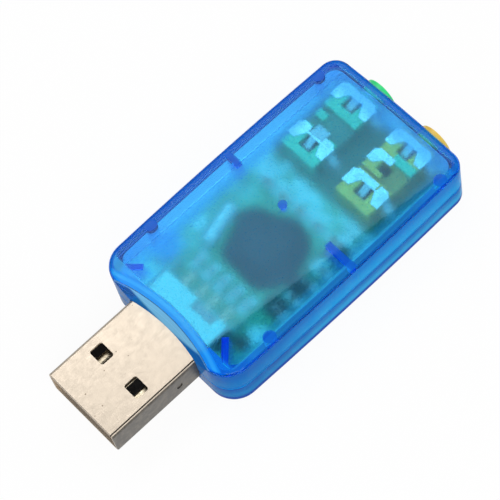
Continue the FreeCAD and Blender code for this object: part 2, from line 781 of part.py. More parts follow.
def bead(name, x, y, heading):
    """Half cone of solder against an upright face, on the board, facing a heading in degrees."""
    turn = Rotation(Vector(0, 0, 1), heading - 90)
    made = put(doc.addObject("Part::Cone", name), x, y, "board_top", turn)
    made.Angle = 180
    bind(made, Radius1="solder_radius", Radius2="solder_tip", Height="solder_height")
    return made


def make_solder(contacts):
    """Solder at the plug's tabs, the strips' tails and the socket clips' feet."""
    tabs = [bead(f"{side}_tab_bead", "shell_rear + tab_length", f"{sign} * (plug_width - plug_sheet) / 2", 0)
            for side, sign in SIDES]
    tails = [bead(f"tail_bead_{k}", "board_front + tail_length", offset, 0)
             for k, (offset, setback) in enumerate(strip_places())]
    feet = []
    for label, (sign, tower, style) in contacts.items():
        across = f"{clip_front(tower)} - leg_setback - leg_width / 2"
        for side, way in SIDES[:1] if style == "half" else SIDES:
            reach = f"{jack_middle(sign)} + {way} * (jack_width / 2 + clip_thickness + foot_length)"
            feet.append(bead(f"{label}_{side}_bead", across, reach, 90 * way))
    return group("plug_solder", tabs), group("contact_solder", tails), group("jack_solder", feet)


CONTACTS = {
    "headphone_front_contact": (1, "front", "plain"),
    "headphone_rear_contact": (1, "rear", "flap"),
    "microphone_front_contact": (-1, "front", "plain"),
    "microphone_middle_contact": (-1, "middle", "half"),
    "microphone_rear_contact": (-1, "rear", "slit"),
}

pieces = [make_upper_shell(), make_lower_shell(), make_usb_shell(), make_usb_insulator(), make_usb_contacts(),
          make_circuit_board(), make_jack_body("headphone_jack_body", 1, ("front", "rear")),
          make_jack_body("microphone_jack_body", -1, ("front", "middle", "rear")),
          group("microphone_jack_insert", [box("insert", *insert_room(-1))])]
pieces += [make_contact(label, *place) for label, place in CONTACTS.items()]
pieces += [make_chip_blob(), *make_crystal(), *make_chips(), *make_solder(CONTACTS)]
doc.recompute()

for item in doc.Objects:
    if "Invalid" in item.State or "Error" in item.State:
        raise RuntimeError(f"{item.Name} did not build: {item.State}")
os.makedirs("parts", exist_ok=True)
for piece in pieces:
    if piece.Shape.isNull() or not piece.Shape.isValid() or not piece.Shape.Solids:
        raise RuntimeError(f"{piece.Label} has no sound solid")
    piece.Shape.exportStep(f"parts/{piece.Label}.step")
    print(piece.Label, len(piece.Shape.Solids), round(piece.Shape.Volume, 2), piece.Shape.BoundBox)
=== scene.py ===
"""Looks of a usb sound card: a clear blue case, a nickel plug, two sockets and a small board.

Metres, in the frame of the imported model: +X from plug to sockets, +Y to the green socket, +Z up.
"""
import logging
import math
from dataclasses import dataclass
from enum import Enum
from typing import Any, Optional, Union

import bmesh
import bpy
import numpy as np
from mathutils import Matrix, Vector


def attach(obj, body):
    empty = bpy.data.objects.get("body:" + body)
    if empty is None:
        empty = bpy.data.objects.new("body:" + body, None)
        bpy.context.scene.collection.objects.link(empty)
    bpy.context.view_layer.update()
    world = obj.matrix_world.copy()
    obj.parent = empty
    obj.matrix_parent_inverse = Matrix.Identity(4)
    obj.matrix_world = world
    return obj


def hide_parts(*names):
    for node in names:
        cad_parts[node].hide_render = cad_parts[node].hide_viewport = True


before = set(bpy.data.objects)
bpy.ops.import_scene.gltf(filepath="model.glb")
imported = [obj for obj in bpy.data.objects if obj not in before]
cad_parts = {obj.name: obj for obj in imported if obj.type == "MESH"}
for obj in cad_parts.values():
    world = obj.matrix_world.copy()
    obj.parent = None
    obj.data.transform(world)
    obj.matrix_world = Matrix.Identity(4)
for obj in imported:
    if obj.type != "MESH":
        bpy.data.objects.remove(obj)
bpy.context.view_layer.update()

MM = 0.001
LOG = logging.getLogger("scene")
Pair = tuple[float, float]
Triple = tuple[float, float, float]
Colour = Triple


class Slot(Enum):
    """Material slots."""

    CLEAR_BLUE = "clear_blue"
    PLUG_NICKEL = "plug_nickel"
    BLACK_PLASTIC = "black_plastic"
    CONTACT_GOLD = "contact_gold"
    BOARD_GREEN = "board_green"
    SOCKET_GREEN = "socket_green"
    SOCKET_YELLOW = "socket_yellow"
    CLIP_TIN = "clip_tin"
    CHIP_RESIN = "chip_resin"
    CAN_STEEL = "can_steel"
    RESISTOR_BLACK = "resistor_black"
    CAPACITOR_TAN = "capacitor_tan"
    SOLDER = "solder"


class Axis(Enum):
    """Directions in the plane of the board."""

    X = (1.0, 0.0, 0.0)
    Y = (0.0, 1.0, 0.0)


class Wire:
    """One value of a node tree, with arithmetic that adds Math nodes."""

    def __init__(self, maker: "Maker", socket: bpy.types.NodeSocket) -> None:
        """Keep the tree's maker and the output socket."""
        self.maker = maker
        self.socket = socket

    def __add__(self, other: "Value") -> "Wire":
        """Sum."""
        return self.maker.math("ADD", self, other)

    __radd__ = __add__

    def __sub__(self, other: "Value") -> "Wire":
        """Difference."""
        return self.maker.math("SUBTRACT", self, other)

    def __rsub__(self, other: "Value") -> "Wire":
        """Difference from a number."""
        return self.maker.math("SUBTRACT", other, self)

    def __mul__(self, other: "Value") -> "Wire":
        """Product."""
        return self.maker.math("MULTIPLY", self, other)

    __rmul__ = __mul__

    def __abs__(self) -> "Wire":
        """Absolute value."""
        return self.maker.math("ABSOLUTE", self)

    def most(self, *others: "Value") -> "Wire":
        """Greatest of two or more values.

        Args:
            others: The other values.

        Returns:
            The greatest value.
        """
        found = self
        for other in others:
            found = self.maker.math("MAXIMUM", found, other)
        return found

    def wave(self) -> "Wire":
        """Sine."""
        return self.maker.math("SINE", self)

    def step(self, low: float, high: float) -> "Wire":
        """Smooth step from 0 at low to 1 at high.

        Args:
            low: Value where the step starts; above high, the step falls.
            high: Value where the step ends.

        Returns:
            The stepped value.
        """
        settings = {"interpolation_type": "SMOOTHSTEP"}
        first, last, start, end = (low, high, 0.0, 1.0) if low < high else (high, low, 1.0, 0.0)
        inputs = {"Value": self, "From Min": first, "From Max": last, "To Min": start, "To Max": end}
        return self.maker.node("ShaderNodeMapRange", settings, inputs).out(0)


Value = Union[float, Wire]
Paint = Union[Colour, Wire]


def far(first: Wire, second: Wire) -> Wire:
    """Squared length of two parts."""
    return first * first + second * second


class NodeBox:
    """A node with its outputs at hand as wires."""

    def __init__(self, maker: "Maker", node: bpy.types.Node) -> None:
        """Keep the tree's maker and the node."""
        self.maker = maker
        self.node = node

    def out(self, key: Union[int, str] = 0) -> Wire:
        """Output by name or number."""
        return Wire(self.maker, self.node.outputs[key])


class Maker:
    """Builds one node tree, a material's or the world's."""

    def __init__(self, tree: bpy.types.NodeTree) -> None:
        """Start with an empty tree."""
        tree.nodes.clear()
        self.tree = tree

    def node(self, kind: str, settings: Optional[dict[str, Any]] = None,
             inputs: Optional[dict[Union[int, str], Any]] = None) -> NodeBox:
        """Add a node.

        Args:
            kind: Node type.
            settings: Properties that are set first.
            inputs: Values or wires by socket name or number.

        Returns:
            The node.
        """
        made = self.tree.nodes.new(kind)
        for key, value in (settings or {}).items():
            setattr(made, key, value)
        for key, value in (inputs or {}).items():
            socket = made.inputs[key]
            if isinstance(value, Wire):
                self.tree.links.new(value.socket, socket)
            elif isinstance(value, tuple) and socket.type == "RGBA":
                socket.default_value = (*value, 1.0)
            else:
                socket.default_value = value
        return NodeBox(self, made)

    def math(self, operation: str, first: Value, second: Value = 0.0) -> Wire:
        """Math node of two values."""
        return self.node("ShaderNodeMath", {"operation": operation}, {0: first, 1: second}).out()

    def mix(self, factor: Value, first: Paint, second: Paint) -> Wire:
        """Mix of two colours by the share of the second."""
        return self.node("ShaderNodeMix", {"data_type": "RGBA"}, {0: factor, 6: first, 7: second}).out(2)

    def layers(self, paint: Paint, *coats: tuple[Value, Paint]) -> Paint:
        """Colours laid over one another.

        Args:
            paint: Lowest colour.
            coats: Share and colour of each further layer.

        Returns:
            The mixed colour.
        """
        for share, coat in coats:
            paint = self.mix(share, paint, coat)
        return paint

    def place(self, stretch: Triple = (1.0, 1.0, 1.0)) -> Wire:
        """Object coordinates in millimetres.

        Args:
            stretch: Factor along each axis.

        Returns:
            The coordinates.
        """
        spot = self.node("ShaderNodeTexCoord").out("Object")
        scale = tuple(1000.0 * part for part in stretch)
        return self.node("ShaderNodeVectorMath", {"operation": "MULTIPLY"}, {0: spot, 1: scale}).out()

    def axes(self, vector: Wire) -> tuple[Wire, Wire, Wire]:
        """Three parts of a vector."""
        parts = self.node("ShaderNodeSeparateXYZ", None, {0: vector})
        return parts.out(0), parts.out(1), parts.out(2)

    def noise(self, vector: Wire, scale: float, detail: float = 2.0, rough: float = 0.5) -> Wire:
        """Noise between about 0.3 and 0.7.

        Args:
            vector: Place in millimetres.
            scale: Grains per millimetre.
            detail: Octaves.
            rough: Share of each further octave.

        Returns:
            The noise value.
        """
        inputs = {"Vector": vector, "Scale": scale, "Detail": detail, "Roughness": rough}
        return self.node("ShaderNodeTexNoise", None, inputs).out(0)

    def cells(self, vector: Wire, scale: float, spread: float = 1.0) -> Wire:
        """Distance to the next of scattered points, in cells."""
        inputs = {"Vector": vector, "Scale": scale, "Randomness": spread}
        return self.node("ShaderNodeTexVoronoi", None, inputs).out("Distance")

    def bump(self, height: Wire, strength: float, distance: float) -> Wire:
        """Normal from a height, with its depth in metres at height 1."""
        inputs = {"Strength": strength, "Distance": distance, "Height": height}
        return self.node("ShaderNodeBump", None, inputs).out()

    def principled(self, **inputs: Any) -> Wire:
        """Principled shader; underscores in socket names stand for spaces."""
        named = {key.replace("_", " "): value for key, value in inputs.items()}
        return self.node("ShaderNodeBsdfPrincipled", None, named).out()

    def blend(self, factor: Value, first: Wire, second: Wire) -> Wire:
        """Mix of two shaders."""
        return self.node("ShaderNodeMixShader", None, {0: factor, 1: first, 2: second}).out()

    def finish(self, surface: Wire, volume: Optional[Wire] = None) -> None:
        """Link the output of a material.

        Args:
            surface: Shader of the surface.
            volume: Shader of the inside.
        """
        inputs = {"Surface": surface}
        if volume is not None:
            inputs["Volume"] = volume
        self.node("ShaderNodeOutputMaterial", None, inputs)


@dataclass(frozen=True)
class Finish:
    """Base of all finishes: a name and a way to make the material."""

    name: str

    def shade(self, maker: Maker) -> None:
        """Fill the material's tree."""
        raise NotImplementedError

    def material(self) -> bpy.types.Material:
        """Material of this finish, made once.

        Returns:
            The material.
        """
        known = bpy.data.materials.get(self.name)
        if known is not None:
            return known
        made = bpy.data.materials.new(self.name)
        made.use_nodes = True
        self.shade(Maker(made.node_tree))
        return made


@dataclass(frozen=True)
class Spot:
    """Shading point, in millimetres.

    Attributes:
        point: All three coordinates.
        along: X.
        across: Y.
        height: Z.
    """

    point: Wire
    along: Wire
    across: Wire
    height: Wire


@dataclass(frozen=True)
class Band:
    """Colour of painted light and shade that comes in with the height.

    Attributes:
        start: Height where it starts, mm.
        end: Height from which on it is full, mm.
        colour: The colour.
    """

    start: float
    end: float
    colour: Colour


@dataclass(frozen=True)
class ClearPlastic(Finish):
    """Tinted clear plastic with a frosted panel inside the roof and cloudy ribs and posts, and with painted
    light and shade.

    Lengths are in millimetres.

    Attributes:
        passed: Light that one millimetre lets through, per colour.
        gleam: Tint of the mirrored light.
        top: Height of the roof's outer face.
        roof: Height of its frosted inner face.
        parting: Height of the joint of the shells.
        panel: Y where the frosted panel ends.
        room: X of the middle of the room inside, and its half sizes in X and Y.
        middle: X of the middle of the case.
        flat: Half sizes of the case without its corner radius.
        scoop: X of the scoop's axis, its radius at the top and how that grows with the height.
        posts: X between the posts, and half their distance in X and in Y.
        stub: X and Y of the moulding stub.
        rib: X of the side ribs, and Y where the left and the right one end.
        matt: Roughness of the panel.
        gloss: Roughness of the top.
        milk: Colour of the light that the cloudy parts scatter.
        cloudy: Share of scattered light on ribs and posts.
        skin: Colour of the light that the outer sides scatter at the top.
        bands: Their further colours downwards, painted light and shade by the height.
        low: Colour of the dark joint, and of the painted shade along the lowest edge.
        near: Colour of the painted shade that the sides turn to by the plug.
        hazy: Share of scattered light on the outer sides.
        glow: Colour of the painted light that gathers at the edges of the roof.
        depth: Colour of the painted light that gathers in the rim, the posts, the stub and the ribs.
        lip: Colour of the painted light in the scoop's lip.
        crest: Colour of the painted highlight in the lip's middle.
        hollow: Colour of the painted pale light on the scoop's face.
        line: Tint of the line at the panel's end.
        grain: Tint of the panel's grains.
        wall: Tint of the walls.
    """

    passed: Colour = (0.41, 0.82, 0.985)
    gleam: Colour = (0.3, 0.7, 1.0)
    top: float = 8.6
    roof: float = 7.6
    parting: float = 4.2
    panel: float = 9.3
    room: Triple = (6.85, 18.7, 10.6)
    middle: float = 6.3
    flat: Pair = (17.65, 9.05)
    scoop: Triple = (-39.71, 26.96, 0.44)
    posts: Triple = (8.35, 14.5, 10.9)
    stub: Pair = (7.15, 0.9)
    rib: Triple = (7.25, 8.9, -7.0)
    matt: float = 0.36
    gloss: float = 0.012
    milk: Colour = (0.015, 0.27, 0.95)
    cloudy: float = 0.75
    skin: Colour = (0.006, 0.19, 0.6)
    bands: tuple[Band, ...] = (Band(7.8, 5.0, (0.008, 0.32, 0.72)), Band(4.3, 4.2, (0.015, 0.19, 0.52)),
                               Band(3.6, 2.3, (0.02, 0.34, 0.68)))
    low: Colour = (0.01, 0.07, 0.4)
    near: Colour = (0.008, 0.07, 0.34)
    hazy: float = 0.965
    glow: Colour = (0.03, 0.46, 1.0)
    depth: Colour = (0.004, 0.105, 0.6)
    lip: Colour = (0.008, 0.27, 0.9)
    crest: Colour = (0.03, 0.4, 0.98)
    hollow: Colour = (0.22, 0.62, 0.97)
    line: Colour = (0.15, 0.35, 0.95)
    grain: Colour = (0.45, 0.62, 0.9)
    wall: Colour = (0.55, 0.95, 1.0)

    def shade(self, maker: Maker) -> None:
        """Glass that lets light rays through, with an absorbing volume.

        Args:
            maker: Maker of the tree.
        """
        point = maker.place()
        at = Spot(point, *maker.axes(point))
        cloud = maker.noise(point, 0.35, 3.0)
        middle, length, width = self.room
        within = abs(at.across).step(width + 0.15, width) * abs(at.along - middle).step(length + 0.15, length)
        inner = abs(at.height - self.roof).step(0.06, 0.02)
        upper = at.height.step(self.top - 0.15, self.top - 0.03)
        glass, dull = self.glass(maker, at, (inner, within), self.gloss + cloud * 0.012 + (1.0 - upper) * 0.03)
        ribs = within * at.height.step(self.roof - 0.02, self.roof - 0.1)
        ribs = ribs * at.height.step(self.parting + 0.12, self.parting + 0.2)
        milk = maker.principled(Base_Color=self.milk, Roughness=0.4)
        body = maker.blend(ribs * self.cloudy * (0.7 + cloud * 0.6), glass, milk)
        # Painted light: glow on the roof's edges and in strips of its inner face.
        edge = upper * (1.0 - within) * self.edges(at)
        glow = maker.principled(Base_Color=self.glow, Roughness=0.05, Specular_Tint=self.gleam)
        body = maker.blend(edge.most(inner * self.strips(at) * 0.42), body, glow)
        border = self.border(at)
        body = self.scooped(maker, at, self.gathered(maker, at, body, border, upper))
        outer = border.step(2.15 ** 2, 2.4 ** 2) * at.height.step(self.top - 0.1, self.top - 0.5)
        body = maker.blend(outer, body, maker.blend(self.haze(maker, cloud), dull, self.sides(maker, at)))
        clear = maker.node("ShaderNodeBsdfTransparent", None, {"Color": (0.95, 0.97, 0.99)}).out()
        shadow = maker.node("ShaderNodeLightPath").out("Is Shadow Ray")
        maker.finish(maker.blend(shadow, body, clear), self.volume(maker))

    def glass(self, maker: Maker, at: Spot, masks: tuple[Wire, Wire], gloss: Wire) -> tuple[Wire, Wire]:
        """Clear glass: the panel rough and grained, with a line at its end, the walls tinted.

        Args:
            maker: Maker of the tree.
            at: Shading point.
            masks: Where the roof's inner face and the room inside are.
            gloss: Roughness without the panel.

        Returns:
            Glass for the inside and the top, and duller glass for the outer sides.
        """
        inner, within = masks
        frost = inner * at.across.step(self.panel + 0.05, self.panel)
        line = inner * abs(at.across - self.panel).step(0.09, 0.03)
        grain = maker.noise(at.point, 3.0, 3.0, 0.7)
        walls = (1.0 - within) * at.height.step(self.top - 0.2, self.top - 0.4)
        tint = maker.layers((1.0, 1.0, 1.0), (line * 0.6, self.line),
                            (frost * grain.step(0.45, 0.7) * 0.5, self.grain), (walls, self.wall))
        rough = gloss + frost * (self.matt - self.gloss + (grain - 0.5) * 0.5)
        normal = maker.bump(frost * grain, 0.7, 0.18 * MM)
        clear, dull = (maker.principled(
            Base_Color=tint, Roughness=rough, IOR=1.5, Transmission_Weight=1.0, Normal=normal,
            Specular_Tint=self.gleam, Specular_IOR_Level=level) for level in (0.5, 0.3))
        return clear, dull

    def border(self, at: Spot) -> Wire:
        """Squared distance from the case's plan without its corner radius.

        Args:
            at: Shading point.

        Returns:
            Square millimetres, 0 within that plan.
        """
        past = (abs(at.along - self.middle) - self.flat[0]).most(0.0)
        beside = (abs(at.across) - self.flat[1]).most(0.0)
        return far(past, beside)

    def edges(self, at: Spot) -> Wire:
        """Share of painted glow at the roof's edges, higher at the front, the back and the right."""
        front = at.along.step(-11.4, -12.2) * at.across.step(-4.0, 2.0)
        return 0.1 + front * 0.4 + at.along.step(25.2, 25.8) * 0.2 + at.across.step(-10.5, -10.8) * 0.25

    def strips(self, at: Spot) -> Wire:
        """Strips of painted glow on the roof's inner face: left, back, right and front left."""
        return at.across.step(6.8, 8.6).most(at.along.step(22.4, 24.4), at.across.step(-9.0, -10.2) * 0.5,
                                             at.along.step(-9.5, -10.8) * at.across.step(4.5, 7.0))

    def marks(self, at: Spot) -> Wire:
        """Where posts, stub and side ribs hang under the top, for the painted light over them.

        Args:
            at: Shading point.

        Returns:
            1 over them and 0 elsewhere.
        """
        place, left, right = self.rib
        post = far(abs(at.along - self.posts[0]) - self.posts[1], abs(at.across) - self.posts[2])
        stub = far(at.across - self.stub[1], at.along - self.stub[0])
        ends = at.across.step(left - 0.2, left + 0.1).most(at.across.step(right + 0.2, right - 0.1))
        rib = abs(at.along - place).step(0.55, 0.4) * ends
        return post.step(0.95 ** 2, 0.8 ** 2).most(stub.step(0.7 ** 2, 0.55 ** 2), rib)

    def gathered(self, maker: Maker, at: Spot, body: Wire, border: Wire, upper: Wire) -> Wire:
        """Painted light that gathers in the rim, in the scoop's lip and over posts, stub and ribs.

        Args:
            maker: Maker of the tree.
            at: Shading point.
            body: Shader without that light.
            border: Squared distance from the plan without corner radius.
            upper: Where the top is.

        Returns:
            Shader with that light.
        """
        axis, radius, _ = self.scoop
        ring = far(at.along - axis, at.across)
        lip = ring.step((radius + 1.3) ** 2, (radius + 1.0) ** 2)
        crest = lip * ring.step((radius + 1.0) ** 2, (radius + 0.7) ** 2)
        crest = crest * ring.step((radius + 0.3) ** 2, (radius + 0.5) ** 2)
        sides = at.along.step(-9.0, -11.0).most(at.across.step(3.0, 8.0) * 0.8, at.along.step(24.0, 25.0) * 0.8)
        # Painted light: deep blue over the rim, the lip, posts, stub and ribs, with a brighter lip.
        deep = (border.step(1.85 ** 2, 2.0 ** 2) * sides).most(lip, self.marks(at))
        colour = maker.layers(self.depth, (lip, self.lip), (crest, self.crest))
        light = maker.principled(Base_Color=colour, Roughness=0.05, Specular_IOR_Level=0.1)
        return maker.blend(deep * upper * 0.75, body, light)

    def scooped(self, maker: Maker, at: Spot, body: Wire) -> Wire:
        """Painted pale light on the scoop's face, a cone.

        Args:
            maker: Maker of the tree.
            at: Shading point.
            body: Shader without it.

        Returns:
            Shader with it.
        """
        axis, radius, growth = self.scoop
        cone = radius + (at.height - self.top) * growth
        face = abs(far(at.along - axis, at.across) - cone * cone).step(6.0, 3.0)
        face = face * at.height.step(self.top - 0.1, self.top - 0.3)
        face = face * at.height.step(self.parting, self.parting + 0.2)
        # Painted light: the scoop's face turns pale.
        pale = maker.principled(Base_Color=self.hollow, Roughness=0.1, Specular_IOR_Level=0.1)
        return maker.blend(face * 0.85, body, pale)

    def sides(self, maker: Maker, at: Spot) -> Wire:
        """Skin of the outer sides, with painted light and shade by the height and painted shade towards the
        plug.

        Args:
            maker: Maker of the tree.
            at: Shading point.

        Returns:
            Shader of the skin.
        """
        # Painted light and shade by the height, a dark joint, painted shade at the lowest edge and towards the
        # plug.
        seam = abs(at.height - self.parting).step(0.5, 0.2) * 0.85
        colour = maker.layers(
            self.skin, *((at.height.step(band.start, band.end), band.colour) for band in self.bands),
            (seam.most(at.height.step(2.0, 1.5)), self.low), (at.along.step(6.0, -12.0) * 0.55, self.near))
        return maker.principled(Base_Color=colour, Roughness=0.15, Specular_IOR_Level=0.01)

    def haze(self, maker: Maker, cloud: Wire) -> Wire:
        """Share of the skin, higher where the face is seen at a slant."""
        facing = maker.node("ShaderNodeLayerWeight", None, {"Blend": 0.5}).out("Facing")
        return self.hazy * (0.25 + facing.step(0.25, 0.55) * 0.75) * (0.85 + cloud * 0.3)

    def volume(self, maker: Maker) -> Wire:
        """Volume that takes up what a millimetre doesn't let through.

        Args:
            maker: Maker of the tree.

        Returns:
            Shader of the inside.
        """
        loss = [-math.log(part) / MM for part in self.passed]
        density = 1.01 * max(loss)
        colour = tuple(1.0 - part / density for part in loss)
        return maker.node("ShaderNodeVolumeAbsorption", None, {"Color": colour, "Density": density}).out()


@dataclass(frozen=True)
class Nickel(Finish):
    """Drawn nickel sheet, faintly mottled, with specks and painted shade on the sides.

    Attributes:
        colour: Bare metal.
        side: Colour of the painted shade on the side faces.
        inside: Painted blue-tinted light on the metal within the case.
        entry: X between which that colour comes in, mm.
        mottled: Colour of the cloudy patches.
        brown: Colour of the specks.
        gap: Colour of the folded seam.
        half_width: Where the sides start, mm.
        seam: Y of the seam on the top, mm.
        top: Height of the top, mm.
        rough: Roughness of the top.
    """

    colour: Colour = (0.755, 0.65, 0.527)
    side: Colour = (0.125, 0.116, 0.104)
    inside: Colour = (0.28, 0.66, 0.63)
    entry: Pair = (-13.0, -12.2)
    mottled: Colour = (0.62, 0.55, 0.45)
    brown: Colour = (0.26, 0.2, 0.14)
    gap: Colour = (0.05, 0.045, 0.04)
    half_width: float = 5.9
    seam: float = -5.63
    top: float = 6.55
    rough: float = 0.36

    def shade(self, maker: Maker) -> None:
        """Metal with grain along X, mottle and brown specks.

        Args:
            maker: Maker of the tree.
        """
        spot = maker.place()
        along, across, height = maker.axes(spot)
        groove = (height - self.top).step(-0.3, -0.2) * abs(across - self.seam).step(0.11, 0.06)
        grain = maker.noise(maker.place((0.08, 1.0, 1.0)), 9.0, 3.0)
        mottle = maker.noise(spot, 1.3, 4.0, 0.6)
        speck = maker.cells(spot, 0.62).step(0.085, 0.04)
        # Painted shade: the side faces darken to the side colour.
        edge = abs(across).step(self.half_width - 0.15, self.half_width)
        # Painted light: within the case the metal turns to a blue-tinted colour.
        inside = along.step(*self.entry)
        metal = maker.layers(
            self.colour, (inside, self.inside), (edge, self.side),
            ((mottle - 0.4) * 0.5 * (1.0 - inside), self.mottled), (speck * 0.85, self.brown),
            (groove * 0.9, self.gap))
        rough = self.rough + (grain - 0.5) * 0.16 + (mottle - 0.5) * 0.15
        normal = maker.bump(grain + mottle * 0.5, 0.25, 0.02 * MM)
        maker.finish(maker.principled(Base_Color=metal, Metallic=0.8, Roughness=rough, Normal=normal))


@dataclass(frozen=True)
class Metal(Finish):
    """Plain sheet or plated metal with a stain.

    Attributes:
        colour: Bare metal.
        stain: Colour of its darker patches.
        rough: Roughness.
        grain: Patches per millimetre.
        bare: Share of bare metal; the rest is dull.
    """

    colour: Colour = (0.86, 0.86, 0.84)
    stain: Colour = (0.60, 0.60, 0.58)
    rough: float = 0.25
    grain: float = 1.5
    bare: float = 1.0

    def shade(self, maker: Maker) -> None:
        """Metal with noise in colour, gloss and height.

        Args:
            maker: Maker of the tree.
        """
        spot = maker.place()
        mottle = maker.noise(spot, self.grain, 4.0, 0.6)
        fine = maker.noise(spot, self.grain * 7.0, 2.0)
        colour = maker.mix(mottle.step(0.42, 0.75), self.colour, self.stain)
        rough = self.rough + (mottle - 0.5) * 0.25 + (fine - 0.5) * 0.1
        normal = maker.bump(fine, 0.15, 0.02 * MM)
        maker.finish(maker.principled(Base_Color=colour, Metallic=self.bare, Roughness=rough, Normal=normal))


@dataclass(frozen=True)
class Plastic(Finish):
    """Moulded opaque plastic with flow marks and painted shade towards the foot.

    Attributes:
        colour: Main colour.
        flow: Colour of the flow marks.
        rough: Roughness.
        soft: Share of light that scatters inside.
        span: X between which the main colour lies, mm.
        past: Colour past them.
        shade_heights: Heights between which painted shade darkens the colour downwards, mm.
        rear: X past which it does, mm.
        dark: Colour of that painted shade.
    """

    colour: Colour = (0.02, 0.02, 0.02)
    flow: Colour = (0.04, 0.04, 0.04)
    rough: float = 0.4
    soft: float = 0.0
    span: Pair = (-100.0, 100.0)
    past: Colour = (0.42, 0.52, 0.48)
    shade_heights: Pair = (-2.0, -1.0)
    rear: float = 13.6
    dark: Colour = (0.01, 0.02, 0.02)

    def shade(self, maker: Maker) -> None:
        """Plastic with noise in colour, gloss and a fine grain, and painted shade at the foot.

        Args:
            maker: Maker of the tree.
        """
        spot = maker.place()
        marks = maker.noise(maker.place((0.4, 1.0, 1.0)), 0.9, 3.0)
        grain = maker.noise(spot, 14.0, 2.0)
        along, _, height = maker.axes(spot)
        start, end = self.span
        past = along.step(start, start - 0.3).most(along.step(end, end + 0.3))
        low, high = self.shade_heights
        # Painted shade: past the rear X the colour darkens downwards.
        shadow = height.step(high, low) * (1.0 - past) * along.step(self.rear, self.rear + 0.3)
        colour = maker.layers(self.colour, (marks.step(0.35, 0.7), self.flow), (past, self.past),
                              (shadow * 0.7, self.dark))
        rough = self.rough + (marks - 0.5) * 0.2
        normal = maker.bump(grain, 0.12, 0.015 * MM)
        maker.finish(maker.principled(
            Base_Color=colour, Roughness=rough, Normal=normal, Subsurface_Weight=self.soft,
            Subsurface_Radius=(0.4 * MM, 0.4 * MM, 0.4 * MM), Subsurface_Scale=1.0))


@dataclass(frozen=True)
class Resin(Finish):
    """Cast black resin with a wavy skin and fine pores.

    Attributes:
        colour: Main colour.
        worn: Colour of the waves' crests.
    """

    colour: Colour = (0.012, 0.013, 0.016)
    worn: Colour = (0.03, 0.033, 0.04)

    def shade(self, maker: Maker) -> None:
        """Dark gloss with waves and pores.

        Args:
            maker: Maker of the tree.
        """
        spot = maker.place()
        waves = maker.noise(spot, 0.5, 3.0)
        pores = maker.cells(spot, 2.2).step(0.1, 0.02)
        colour = maker.mix(waves.step(0.3, 0.7), self.colour, self.worn)
        normal = maker.bump(waves - pores * 0.2, 0.4, 0.15 * MM)
        maker.finish(maker.principled(Base_Color=colour, Roughness=0.32 + (waves - 0.5) * 0.3,
                                      Normal=normal))


@dataclass(frozen=True)
class PadRow:
    """Row of tinned pads on the board, in millimetres.

    Attributes:
        first: X and Y of the first pad's middle.
        pitch: Step along the row; along Y where upright.
        half: Half sizes in X and Y.
        count: Number of pads.
        upright: Whether the row runs along Y.
    """

    first: Pair
    pitch: float
    half: Pair
    count: int = 5
    upright: bool = False

    def mask(self, maker: Maker, along: Wire, across: Wire) -> Wire:
        """Where the pads are: a repeated distance along the row, and a plain one across it.

        Args:
            maker: Maker of the tree.
            along: X in millimetres.
            across: Y in millimetres.

        Returns:
            1 on the pads and 0 elsewhere.
        """
        order = slice(None, None, -1) if self.upright else slice(None)
        run, side = (along, across)[order]
        start, middle = self.first[order]
        reach, width = self.half[order]
        shifted = run - (start - self.pitch / 2.0)
        repeated = maker.math("FLOORED_MODULO", shifted, self.pitch) - self.pitch / 2.0
        length = self.pitch * self.count
        ends = abs(shifted - length / 2.0).step(length / 2.0 + 0.01, length / 2.0)
        return abs(repeated).step(reach + 0.05, reach) * abs(side - middle).step(width + 0.05, width) * ends


